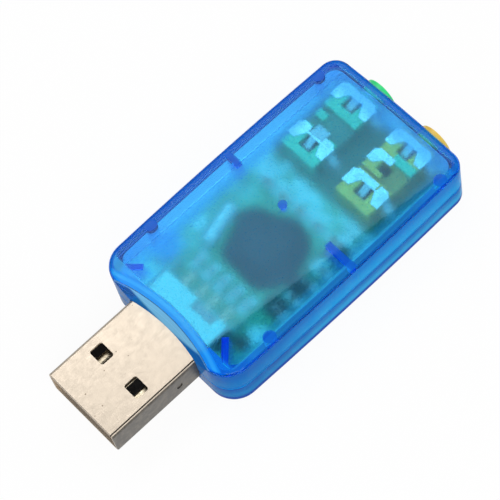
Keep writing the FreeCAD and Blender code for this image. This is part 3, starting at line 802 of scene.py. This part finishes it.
@dataclass(frozen=True)
class BoardLacquer(Finish):
    """Green lacquer over copper: tracks, tinned pads and fields, holes and the bare cut edge.

    Attributes:
        lacquer: Lacquer over bare laminate.
        track: Lacquer over copper.
        tin: Tinned copper.
        shaded: Lacquer in the shade of the parts.
        dark_spot_colour: Colour of the dark round spots.
        hole: Drilled holes.
        laminate: Cut edge.
        pitch: Distance of the tracks, mm.
        top: Height of the upper face, mm.
        bottom: Height of the lower face, mm.
        rows: Pads under the small parts.
        dark_spots: X, Y and radius of the dark round spots, mm.
        fields: X, Y and radius of further tinned fields, mm.
    """

    lacquer: Colour = (0.015, 0.34, 0.17)
    track: Colour = (0.03, 0.50, 0.25)
    tin: Colour = (0.3, 0.7, 0.7)
    shaded: Colour = (0.008, 0.10, 0.055)
    dark_spot_colour: Colour = (0.008, 0.012, 0.014)
    hole: Colour = (0.05, 0.05, 0.045)
    laminate: Colour = (0.34, 0.32, 0.16)
    pitch: float = 1.1
    top: float = 4.4
    bottom: float = 3.4
    rows: tuple[PadRow, ...] = (
        PadRow((-2.35, -7.9), 2.5, (0.6, 1.25)), PadRow((-4.45, -4.4), 2.2, (1.25, 0.6), upright=True),
        PadRow((8.95, -6.0), 3.0, (0.65, 1.2), upright=True))
    dark_spots: tuple[Triple, ...] = ((-2.05, -7.0, 1.5), (1.65, -7.2, 1.5), (-8.4, -7.6, 1.1), (8.6, -7.9, 1.2))
    fields: tuple[Triple, ...] = ((-0.85, 8.3, 1.2), (-6.2, -8.2, 1.3), (5.3, -7.2, 1.1))

    @staticmethod
    def dot(place: Triple, along: Wire, across: Wire, edge: Wire) -> Wire:
        """Where a round field with a noisy edge is.

        Args:
            place: X, Y and radius in millimetres.
            along: X in millimetres.
            across: Y in millimetres.
            edge: Shift of the edge in millimetres.

        Returns:
            1 in the field and 0 elsewhere.
        """
        middle_x, middle_y, radius = place
        square = far(across - middle_y, along - middle_x) + edge * radius
        return square.step(radius ** 2 * 1.2, radius ** 2 * 0.8)

    def shade(self, maker: Maker) -> None:
        """Tracks are bands of a bent wave, fields have noisy edges, holes a loose grid.

        Args:
            maker: Maker of the tree.
        """
        spot = maker.place()
        along, across, height = maker.axes(spot)
        bend = maker.noise(spot, 0.16, 1.0)
        patch = maker.noise(spot, 0.9, 3.0)
        tracks = ((across + bend * 7.0) * (2.0 * math.pi / self.pitch)).wave().step(0.25, 0.45)
        copper = tracks.most(maker.noise(spot, 0.11, 0.0).step(0.52, 0.54))
        edge = (patch - 0.5) * 2.5
        band = abs(along + edge - 10.7).step(2.3, 1.3)
        side = (across + edge).step(5.0, 6.5) * (along + edge).step(9.0, 7.5)
        tinned = (band * 0.9).most(side * 0.4) * (0.3 + 0.7 * maker.noise(spot, 0.6, 2.0).step(0.42, 0.52))
        spots = maker.cells(spot, 0.42, 0.7)
        tinned = tinned.most(*(self.dot(field, along, across, edge) * 0.9 for field in self.fields),
                             *(row.mask(maker, along, across) for row in self.rows), spots.step(0.2, 0.17))
        # Dark round spots with noisy edges.
        dark, *others = (self.dot(drop, along, across, edge) for drop in self.dark_spots)
        dark = dark.most(*others)
        holes = spots.step(0.09, 0.07)
        cut = (height - self.bottom).step(0.03, 0.06) * (self.top - height).step(0.03, 0.06)
        shady = ((across + edge).step(-4.8, -6.2) * along.step(-4.5, -3.0)).most(along.step(11.9, 13.0))
        colour = maker.layers(self.lacquer, (copper, self.track), (shady * 0.75, self.shaded),
                              (tinned, self.tin), (holes, self.hole), (cut, self.laminate),
                              (dark * 0.95, self.dark_spot_colour))
        shine = tinned * (1.0 - holes) * (1.0 - cut) * (1.0 - dark) * 0.7
        normal = maker.bump(copper + tinned + patch * 0.5, 0.5, 0.03 * MM)
        maker.finish(maker.principled(Base_Color=colour, Metallic=shine, Normal=normal,
                                      Roughness=0.35 + cut * 0.35 + (patch - 0.5) * 0.2))


@dataclass(frozen=True)
class Floor(Finish):
    """White ground that the camera, metal and glass see as white, with the object's shadow.

    Attributes:
        shine: Share of plain white in what they see.
    """

    shine: float = 0.93

    def shade(self, maker: Maker) -> None:
        """Diffuse white, part of it plain white for direct, mirrored and passed rays.

        Args:
            maker: Maker of the tree.
        """
        paper = maker.noise(maker.place(), 0.02, 2.0)
        colour = maker.mix(paper, (0.93, 0.93, 0.93), (0.95, 0.95, 0.95))
        matt = maker.node("ShaderNodeBsdfDiffuse", None, {"Color": colour}).out()
        white = maker.node("ShaderNodeEmission", None, {"Color": (1.0, 1.0, 1.0), "Strength": 1.0}).out()
        rays = maker.node("ShaderNodeLightPath")
        seen = rays.out("Is Camera Ray").most(rays.out("Is Glossy Ray"), rays.out("Is Transmission Ray"))
        maker.finish(maker.blend(seen * self.shine, matt, white))


CASE = ClearPlastic("clear_blue_plastic")
BASE = ClearPlastic("clear_blue_base", passed=(0.1, 0.81, 0.985))
NICKEL = Nickel("drawn_nickel")
BLACK = Plastic("black_insulator", (0.015, 0.015, 0.016), (0.03, 0.03, 0.032), 0.4, span=(-100.0, -11.4))
GOLD = Metal("contact_plating", (0.6, 0.53, 0.4), (0.46, 0.39, 0.27), 0.25, 2.0)
TIN = Metal("tinned_clip", (0.72, 0.95, 0.97), (0.56, 0.76, 0.78), 0.35, 0.9, 0.6)
STEEL = Metal("can_shell", (0.55, 0.92, 0.89), (0.46, 0.77, 0.75), 0.3, 1.2, 0.5)
SOLDER = Metal("solder_joint", (0.66, 0.69, 0.68), (0.5, 0.52, 0.51), 0.3, 3.0, 0.8)
GREEN = Plastic("green_socket", (0.02, 0.76, 0.42), (0.015, 0.68, 0.38), 0.35, 0.2, (-100.0, 26.0),
                (0.045, 0.84, 0.25), (6.25, 6.65))
YELLOW = Plastic("yellow_socket", (1.0, 0.68, 0.08), (1.0, 0.58, 0.06), 0.35, 0.2, (-100.0, 26.0),
                 (1.0, 0.62, 0.1), (6.1, 6.65))
RESIN = Resin("chip_resin_skin")
LACQUER = BoardLacquer("board_lacquer")
CERAMIC = Plastic("resistor_glaze", (0.012, 0.012, 0.014), (0.03, 0.03, 0.03), 0.3, span=(-3.4, 100.0))
TAN = Plastic("capacitor_ceramic", (0.36, 0.23, 0.12), (0.27, 0.17, 0.09), 0.5)


class Shape:
    """Surfaces given as arrays of points, turned into closed meshes.

    Attributes:
        CREASE: Angle over which an edge stays sharp, degrees.
        MERGED: Distance under which points are merged, m.
    """

    CREASE = 40.0
    MERGED = 1e-7

    @staticmethod
    def grid(points: np.ndarray) -> tuple[np.ndarray, np.ndarray]:
        """Quads over a grid of points, whose last column joins the first, for every copy.

        Args:
            points: Array (copies, rows, columns, 3).

        Returns:
            Vertices (n, 3) and quads (m, 4).
        """
        copies, rows, columns, _ = points.shape
        here = np.arange(copies * rows * columns).reshape(copies, rows, columns)
        there = np.roll(here, -1, axis=2)
        quads = np.stack((here[:, :-1], there[:, :-1], there[:, 1:], here[:, 1:]), axis=-1)
        return points.reshape(-1, 3), quads.reshape(-1, 4)

    @staticmethod
    def piece(name: str, points: np.ndarray, finish: Finish) -> bpy.types.Object:
        """Object of a closed surface; equal points are merged and faces turned outward.

        Args:
            name: Object name.
            points: Array (copies, rows, columns, 3) in millimetres.
            finish: Material.

        Returns:
            The object, which rides the root.
        """
        vertices, quads = Shape.grid(points * MM)
        mesh = bpy.data.meshes.new(name)
        mesh.from_pydata(vertices, [], quads)
        work = bmesh.new()
        work.from_mesh(mesh)
        bmesh.ops.remove_doubles(work, verts=work.verts, dist=Shape.MERGED)
        bmesh.ops.dissolve_degenerate(work, edges=work.edges, dist=Shape.MERGED / 10.0)
        bmesh.ops.recalc_face_normals(work, faces=work.faces)
        work.to_mesh(mesh)
        work.free()
        mesh.polygons.foreach_set("use_smooth", np.ones(len(mesh.polygons), dtype=bool))
        mesh.set_sharp_from_angle(angle=math.radians(Shape.CREASE))
        made = bpy.data.objects.new(name, mesh)
        bpy.context.scene.collection.objects.link(made)
        mesh.materials.append(finish.material())
        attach(made, "root")
        return made

    @staticmethod
    def closed(rows: np.ndarray) -> np.ndarray:
        """Rows of points with a middle point added before the first and after the last row.

        Args:
            rows: Points (copies, rows, columns, 3).

        Returns:
            Points (copies, rows + 2, columns, 3).
        """
        first = np.broadcast_to(rows[:, :1].mean(axis=2, keepdims=True), rows[:, :1].shape)
        last = np.broadcast_to(rows[:, -1:].mean(axis=2, keepdims=True), rows[:, -1:].shape)
        return np.concatenate((first, rows, last), axis=1)

    @staticmethod
    def pillows(centres: np.ndarray, halves: np.ndarray, power: float, steps: int = 25) -> np.ndarray:
        """Rounded boxes: a sphere's points divided by their power norm, times the half sizes.

        Args:
            centres: Middles (copies, 3).
            halves: Half sizes (copies, 3).
            power: Exponent of the norm; the higher, the sharper the edges.
            steps: Points from pole to pole.

        Returns:
            Points (copies, steps, 2 * steps, 3).
        """
        down = np.linspace(0.0, np.pi, steps)[:, None]
        round_ = np.linspace(0.0, 2.0 * np.pi, 2 * steps, endpoint=False)[None, :]
        ball = np.stack(np.broadcast_arrays(
            np.sin(down) * np.cos(round_), np.sin(down) * np.sin(round_), np.cos(down)), axis=-1)
        norm = (np.abs(ball) ** power).sum(axis=-1, keepdims=True) ** (1.0 / power)
        return centres[:, None, None, :] + (ball / norm)[None] * halves[:, None, None, :]

    @staticmethod
    def tube(path: np.ndarray, radius: np.ndarray, sides: int) -> np.ndarray:
        """Round tube: circles across a path, turned to its direction.

        Args:
            path: Middles of the circles (rows, 3).
            radius: Radius of every circle (rows,).
            sides: Points of a circle.

        Returns:
            Points (1, rows + 2, sides, 3), closed at both ends.
        """
        ahead = np.gradient(path, axis=0)
        ahead /= np.linalg.norm(ahead, axis=1, keepdims=True)
        side = np.cross(ahead, (0.0, 0.0, 1.0))
        side /= np.linalg.norm(side, axis=1, keepdims=True)
        rise = np.cross(side, ahead)
        angle = np.linspace(0.0, 2.0 * np.pi, sides, endpoint=False)
        ring = np.cos(angle)[None, :, None] * side[:, None] + np.sin(angle)[None, :, None] * rise[:, None]
        return Shape.closed((path[:, None] + ring * radius[:, None, None])[None])


def dress(node: str, finish: Finish) -> None:
    """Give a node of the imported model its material.

    Args:
        node: Node name.
        finish: Material.
    """
    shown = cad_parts[node]
    shown.data.materials.clear()
    shown.data.materials.append(finish.material())
    LOG.info("dressed %s", node)


def keep(piece: bpy.types.Object, slot: Slot, *nodes: str) -> None:
    """Hide the nodes that a new piece stands for, and log the piece.

    Args:
        piece: New piece.
        slot: Not used.
        nodes: Nodes that it replaces.
    """
    for node in nodes:
        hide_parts(node)
    LOG.info("built %s", piece.name)


@dataclass
class Case:
    """Two clear shells."""

    shells: tuple[tuple[str, Finish], ...] = (("upper_shell", CASE), ("lower_shell", BASE))

    def build(self) -> None:
        """Dress both shells."""
        for shell, finish in self.shells:
            dress(shell, finish)


@dataclass
class Plug:
    """Metal shell, black tongue and four sprung contact strips, in millimetres.

    Attributes:
        starts: Where each strip starts at the mouth.
        offsets: Y of each strip.
        end: Where the strips end on the board.
        middle: Height of the strips' middle.
        half: Half width and half thickness of a strip.
        crest: Rise of a strip near its tip.
        bell: Distance of that rise from the tip, and its width.
    """

    starts: tuple[float, ...] = (-26.55, -25.55, -25.55, -26.55)
    offsets: tuple[float, ...] = (3.5, 1.0, -1.0, -3.5)
    end: float = -6.05
    middle: float = 4.5
    half: Pair = (0.5, 0.1)
    crest: float = 0.16
    bell: Pair = (1.3, 0.7)

    def build(self) -> None:
        """Dress the shell and the tongue, and build the strips."""
        dress("usb_shell", NICKEL)
        dress("usb_insulator", BLACK)
        self.strips()

    def strips(self) -> None:
        """Strips: a rounded flat section along X, narrowed and raised near the tip.

        The section is a circle's points divided by their sixth-power norm. The height rises by
        a bell curve behind the tip, and the width grows from half with the distance.
        """
        share = np.linspace(0.0, 1.0, 90)[None, :, None]
        angle = np.linspace(0.0, 2.0 * np.pi, 24, endpoint=False)[None, None, :]
        norm = (np.cos(angle) ** 6 + np.sin(angle) ** 6) ** (1.0 / 6.0)
        start = np.array(self.starts)[:, None, None]
        run = (self.end - start) * share
        width = self.half[0] * np.minimum(1.0, 0.55 + 0.5 * run)
        x = start + run
        y = np.array(self.offsets)[:, None, None] + width * np.cos(angle) / norm
        z = self.middle + self.half[1] * np.sin(angle) / norm
        z = z + self.crest * np.exp(-((run - self.bell[0]) / self.bell[1]) ** 2)
        rows = np.stack(np.broadcast_arrays(x, y, z), axis=-1)
        keep(Shape.piece("contact_strips", Shape.closed(rows), GOLD), Slot.CONTACT_GOLD, "usb_contacts")


@dataclass
class Sockets:
    """Two socket bodies with their clips."""

    clips: tuple[str, ...] = ("headphone_front_contact", "headphone_rear_contact",
                              "microphone_front_contact", "microphone_middle_contact",
                              "microphone_rear_contact")

    def build(self) -> None:
        """Dress the bodies, the green insert and the clips."""
        dress("headphone_jack_body", GREEN)
        dress("microphone_jack_body", YELLOW)
        dress("microphone_jack_insert", GREEN)
        for clip in self.clips:
            dress(clip, TIN)


@dataclass
class ChipRow:
    """Row of small two-ended chips, in millimetres.

    Attributes:
        first: Middle of the first chip.
        step: Way to the next chip.
        axis: Direction of the chips' length.
        height: Height of a chip.
        count: Number of chips.
        length: Length of a chip.
        width: Width of a chip.
        cap: Length of a metal end.
        inset: How far the body lies within the ends at their tips, sides and tops.
    """

    first: Pair
    step: Pair
    axis: Axis
    height: float
    count: int = 5
    length: float = 1.6
    width: float = 0.8
    cap: float = 0.36
    inset: Triple = (0.1, 0.04, 0.02)

    def boxes(self, top: float) -> tuple[np.ndarray, np.ndarray, np.ndarray, np.ndarray]:
        """Middles and half sizes of the bodies and of the end caps.

        Args:
            top: Height of the board's upper face.

        Returns:
            Middles and half sizes of the bodies, then of the caps.
        """
        along = np.array(self.axis.value)
        aside = np.array((1.0, 1.0, 0.0)) - along
        number = np.arange(self.count)[:, None]
        flat = np.array(self.first) + number * np.array(self.step)
        middles = np.column_stack((flat, np.full(self.count, top + self.height / 2.0)))
        upward = np.array((0.0, 0.0, 1.0))
        tips, sides, tops = self.inset
        cap = along * (self.cap / 2.0) + aside * (self.width / 2.0) + upward * (self.height / 2.0)
        body = along * (self.length / 2.0 - tips) + aside * (self.width / 2.0 - sides)
        body = body + upward * (self.height / 2.0 - tops)
        shift = along * (self.length - self.cap) / 2.0
        ends = np.concatenate((middles - shift, middles + shift))
        return middles, np.tile(body, (self.count, 1)), ends, np.tile(cap, (2 * self.count, 1))


@dataclass
class Crystal:
    """Crystal can on its side with two bent leads, in millimetres.

    Attributes:
        centre: Middle of the can.
        angle: Turn of its axis about Z, degrees.
        radius: Radius of the can.
        length: Length of the can.
        lead: Radius of a lead.
        spread: Distance of the leads.
        reach: Length of the leads past the can.
        low: Height of the leads' ends.
        crimp: Place and width of the crimp, and its depth as a share of the radius.
        far_end: Length of the rounded far end, and its depth as a share of the radius.
        sink: How far the leads start under the axis.
        overlap: How far they start within the can.
    """

    centre: Triple = (0.65, 5.9, 5.4)
    angle: float = 14.0
    radius: float = 1.0
    length: float = 6.0
    lead: float = 0.15
    spread: float = 0.7
    reach: float = 1.4
    low: float = 4.55
    crimp: Triple = (0.6, 0.14, 0.08)
    far_end: Pair = (0.7, 0.4)
    sink: float = 0.15
    overlap: float = 0.2

    def build(self) -> None:
        """Build the can and the leads."""
        turn = math.radians(self.angle)
        ahead = np.array((math.cos(turn), math.sin(turn), 0.0))
        self.can(ahead)
        self.leads(ahead)

    def can(self, ahead: np.ndarray) -> None:
        """Can: circles along its axis, with a crimp by the leads and a rounded far end.

        The radius loses a narrow bell at the crimp and a rising power near the far end.

        Args:
            ahead: Direction of the axis.
        """
        way = np.linspace(0.0, self.length, 80)
        place, width, depth = self.crimp
        round_, loss = self.far_end
        end = np.clip((way - self.length + round_) / round_, 0.0, 1.0)
        radius = self.radius * (1.0 - depth * np.exp(-((way - place) / width) ** 2) - loss * end ** 4)
        path = np.array(self.centre) + (way - self.length / 2.0)[:, None] * ahead
        points = Shape.tube(path, radius, 40)
        keep(Shape.piece("crystal_shell", points, STEEL), Slot.CAN_STEEL, "crystal_can")

    def leads(self, ahead: np.ndarray) -> None:
        """Leads: thin tubes from the can's end down to the board in a smooth step.

        Args:
            ahead: Direction of the can's axis.
        """
        share = np.linspace(0.0, 1.0, 40)
        drop = self.sink + share ** 2 * (3.0 - 2.0 * share) * (self.centre[2] - self.sink - self.low)
        back = self.length / 2.0 - self.overlap + share * (self.reach + self.overlap)
        aside = np.array((-ahead[1], ahead[0], 0.0))
        base = np.array(self.centre) - back[:, None] * ahead - drop[:, None] * np.array((0.0, 0.0, 1.0))
        tubes = [Shape.tube(base + sign * self.spread / 2.0 * aside, np.full(40, self.lead), 16)
                 for sign in (1.0, -1.0)]
        keep(Shape.piece("crystal_wires", np.concatenate(tubes), STEEL), Slot.CAN_STEEL, "crystal_leads")


@dataclass
class Joint:
    """Solder joints of one kind: hollow-sided half cones against upright faces, in millimetres.

    Attributes:
        node: Node that they stand for.
        places: Middles of the flat faces.
        headings: Directions that they face, degrees.
        radius: Radius on the board.
        tip: Radius at the top.
        height: Height of a joint.
        hollow: Power by which the radius falls.
        wave: Depth of the waves around it, as a share of the radius.
    """

    node: str
    places: tuple[Pair, ...]
    headings: tuple[float, ...]
    radius: float = 0.5
    tip: float = 0.12
    height: float = 0.55
    hollow: float = 2.2
    wave: float = 0.08

    def build(self, top: float) -> None:
        """Joints: the radius falls with a power of the height, and waves with the angle.

        Args:
            top: Height of the board's upper face.
        """
        share = np.linspace(0.0, 1.0, 16)[None, :, None]
        swing = np.linspace(-np.pi / 2.0, np.pi / 2.0, 22)[None, None, :]
        count = np.arange(len(self.places))[:, None, None]
        angle = np.radians(np.array(self.headings))[:, None, None] + swing
        radius = self.tip + (self.radius - self.tip) * (1.0 - share) ** self.hollow
        radius = radius * (1.0 + self.wave * np.sin(3.0 * swing + 2.0 * count))
        spots = np.array(self.places)
        x = spots[:, 0, None, None] + radius * np.cos(angle)
        y = spots[:, 1, None, None] + radius * np.sin(angle)
        rows = np.stack(np.broadcast_arrays(x, y, top + self.height * share), axis=-1)
        keep(Shape.piece(f"{self.node}_fillets", Shape.closed(rows), SOLDER), Slot.SOLDER, self.node)


@dataclass
class Board:
    """Circuit board with its parts, in millimetres.

    Attributes:
        top: Height of the upper face.
        blob_centre: Middle of the resin blob.
        blob_reach: Mean radius of the blob.
        blob_height: Height of the blob.
        blob_waves: Order, depth and phase in degrees of each wave of its outline.
        blob_powers: Powers of its height's fall with the distance.
        blob_ripple: Depth of the waves on it, as a share of its height.
        resistors: Rows of resistors.
        capacitors: Rows of capacitors.
        joints: Solder joints.
    """

    top: float = 4.4
    blob_centre: Pair = (2.75, -0.6)
    blob_reach: float = 5.4
    blob_height: float = 1.2
    blob_waves: tuple[tuple[int, float, float], ...] = (
        (1, 0.25, 140.0), (2, 0.2, 180.0), (3, 0.28, -90.0), (4, 0.25, -110.0), (5, 0.25, 0.0),
        (6, 0.16, 96.0))
    blob_powers: Pair = (4.0, 0.7)
    blob_ripple: float = 0.06
    resistors: tuple[ChipRow, ...] = (ChipRow((-2.35, -7.9), (2.5, 0.0), Axis.Y, 0.45),
                                      ChipRow((-4.45, -4.4), (0.0, 2.2), Axis.X, 0.45))
    capacitors: tuple[ChipRow, ...] = (ChipRow((8.95, -6.0), (0.0, 3.0), Axis.Y, 0.8),)
    joints: tuple[Joint, ...] = (
        Joint("plug_solder", ((-6.55, 5.85), (-6.55, -5.85)), (0.0, 0.0)),
        Joint("contact_solder", ((-6.05, 3.5), (-6.05, 1.0), (-6.05, -1.0), (-6.05, -3.5)), (0.0,) * 4),
        Joint("jack_solder", ((24.1, 9.1), (16.6, 9.1), (24.1, 1.5), (16.6, 1.5), (24.1, -0.7),
                              (20.35, -0.7), (16.6, -0.7), (24.1, -8.3), (16.6, -8.3)),
              (90.0, 90.0, -90.0, -90.0, 90.0, 90.0, 90.0, -90.0, -90.0)))

    def build(self) -> None:
        """Dress the board and build its parts."""
        dress("circuit_board", LACQUER)
        self.blob()
        Crystal().build()
        self.chips("resistor", self.resistors, CERAMIC, Slot.RESISTOR_BLACK, "chip_resistors")
        self.chips("capacitor", self.capacitors, TAN, Slot.CAPACITOR_TAN, "ceramic_capacitors")
        for joint in self.joints:
            joint.build(self.top)

    def blob(self) -> None:
        """Resin blob: a waved outline whose height falls with a power of the distance.

        The reach is a mean plus cosines of multiples of the angle; the height is the top height
        times 1 minus the distance share to the first power, to the second power.
        """
        share = np.linspace(1.0, 0.0, 40)[:, None]
        angle = np.linspace(0.0, 2.0 * np.pi, 144, endpoint=False)[None, :]
        order, depth, phase = np.array(self.blob_waves).T[:, :, None]
        reach = self.blob_reach + (depth * np.cos(order * angle - np.radians(phase))).sum(axis=0)
        steep, blunt = self.blob_powers
        height = self.blob_height * (1.0 - share ** steep) ** blunt
        height = height * (1.0 + self.blob_ripple * np.sin(3.0 * angle) * share)
        x = self.blob_centre[0] + reach * share * np.cos(angle)
        y = self.blob_centre[1] + reach * share * np.sin(angle)
        rows = np.stack(np.broadcast_arrays(x, y, self.top + height), axis=-1)[None]
        keep(Shape.piece("resin_blob", Shape.closed(rows), RESIN), Slot.CHIP_RESIN, "chip_blob")

    def chips(self, kind: str, rows: tuple[ChipRow, ...], finish: Finish, slot: Slot, node: str) -> None:
        """Bodies and end caps of all chips of a kind.

        Args:
            kind: Name of the kind.
            rows: Rows of chips.
            finish: Material of the bodies.
            slot: Slot of the bodies.
            node: Node that they stand for.
        """
        middles, bodies, ends, caps = (np.concatenate(part) for part in
                                       zip(*(row.boxes(self.top) for row in rows)))
        keep(Shape.piece(f"{kind}_bodies", Shape.pillows(middles, bodies, 10.0), finish), slot, node)
        keep(Shape.piece(f"{kind}_ends", Shape.pillows(ends, caps, 8.0), SOLDER), Slot.SOLDER)


@dataclass
class SoftBox:
    """Rectangular lamp.

    Attributes:
        name: Lamp name.
        place: Middle, m.
        size: Sides, m.
        bright: Radiance.
        turn: Turn about Z for a lamp that faces straight down, degrees.
        target: Point that it faces instead, m.
    """

    name: str
    place: Triple
    size: Pair
    bright: float
    turn: float = 0.0
    target: Optional[Triple] = None

    def build(self) -> None:
        """Hang the lamp."""
        data = bpy.data.lights.new(self.name, "AREA")
        data.shape = "RECTANGLE"
        data.size, data.size_y = self.size
        data.energy = self.bright * math.pi * self.size[0] * self.size[1]
        made = bpy.data.objects.new(self.name, data)
        made.location = self.place
        made.rotation_euler = (0.0, 0.0, math.radians(self.turn))
        if self.target is not None:
            aim = Vector(self.target) - Vector(self.place)
            made.rotation_euler = aim.to_track_quat("-Z", "Y").to_euler()
        bpy.context.scene.collection.objects.link(made)


@dataclass
class Studio:
    """Floor, world, lamps and camera.

    The edge of the overhead lamp is mirrored in the case's top along its right side.

    Attributes:
        sky: Even light from all around.
        mirrored: The same as seen in mirrors.
        lamps: Soft boxes.
        ground: Half side of the floor, m.
        drop: Depth of the floor under the object, m.
        lens: Focal length, mm.
        sensor: Width of the picture in the camera, mm.
        nearest: Distance from which on it sees, m.
        eye: Place of the camera, m.
        right: Direction to the right of the picture.
        up: Direction to the top of the picture.
    """

    sky: float = 0.6
    mirrored: float = 0.2
    lamps: tuple[SoftBox, ...] = (
        SoftBox("overhead", (0.0701, 0.1721, 0.3), (0.22, 0.12), 2.9, turn=-6.54),
        SoftBox("front", (-0.15, -0.3, 0.35), (0.4, 0.4), 2.1, target=(0.0, 0.0, 0.0)))
    ground: float = 15.0
    drop: float = 0.00002
    lens: float = 156.04
    sensor: float = 36.0
    nearest: float = 0.01
    eye: Triple = (-0.05648, -0.10529, 0.24605)
    right: Triple = (0.7248, -0.6774, -0.1256)
    up: Triple = (0.6552, 0.6213, 0.4297)

    def build(self) -> None:
        """Set the stage."""
        self.floor()
        self.world()
        for lamp in self.lamps:
            lamp.build()
        self.camera()

    def floor(self) -> None:
        """White ground under the object."""
        mesh = bpy.data.meshes.new("floor")
        half = self.ground
        mesh.from_pydata([(-half, -half, 0), (half, -half, 0), (half, half, 0), (-half, half, 0)],
                         [], [(0, 1, 2, 3)])
        ground = bpy.data.objects.new("floor", mesh)
        mesh.materials.append(Floor("white_ground").material())
        bpy.context.scene.collection.objects.link(ground)
        ground.location = (0.0, 0.0, -self.drop)

    def world(self) -> None:
        """Even sky: plain light, white where glass or the camera shows it, dim in mirrors."""
        world = bpy.data.worlds.new("sky")
        world.use_nodes = True
        bpy.context.scene.world = world
        maker = Maker(world.node_tree)
        rays = maker.node("ShaderNodeLightPath")
        white = rays.out("Is Camera Ray").most(rays.out("Is Transmission Ray"))
        level = self.sky + white * (1.0 - self.sky) + rays.out("Is Glossy Ray") * (self.mirrored - self.sky)
        light = maker.node("ShaderNodeBackground", None,
                           {"Color": (1.0, 1.0, 1.0), "Strength": level}).out()
        maker.node("ShaderNodeOutputWorld", None, {"Surface": light})

    def camera(self) -> None:
        """Camera of the photograph."""
        data = bpy.data.cameras.new("camera")
        data.lens = self.lens
        data.sensor_width = self.sensor
        data.clip_start = self.nearest
        made = bpy.data.objects.new("camera", data)
        right = Vector(self.right).normalized()
        back = right.cross(Vector(self.up)).normalized()
        turn = Matrix((right, back.cross(right), back)).transposed()
        made.matrix_world = Matrix.Translation(self.eye) @ turn.to_4x4()
        bpy.context.scene.collection.objects.link(made)
        bpy.context.scene.camera = made
        bpy.context.scene.view_settings.view_transform = "Standard"


def main() -> None:
    """Build all sub-assemblies and set the stage."""
    logging.basicConfig(level=logging.INFO, format="%(name)s: %(message)s")
    for assembly in (Case(), Plug(), Sockets(), Board(), Studio()):
        assembly.build()
        LOG.info("done: %s", type(assembly).__name__)


if __name__ == "__main__":
    main()
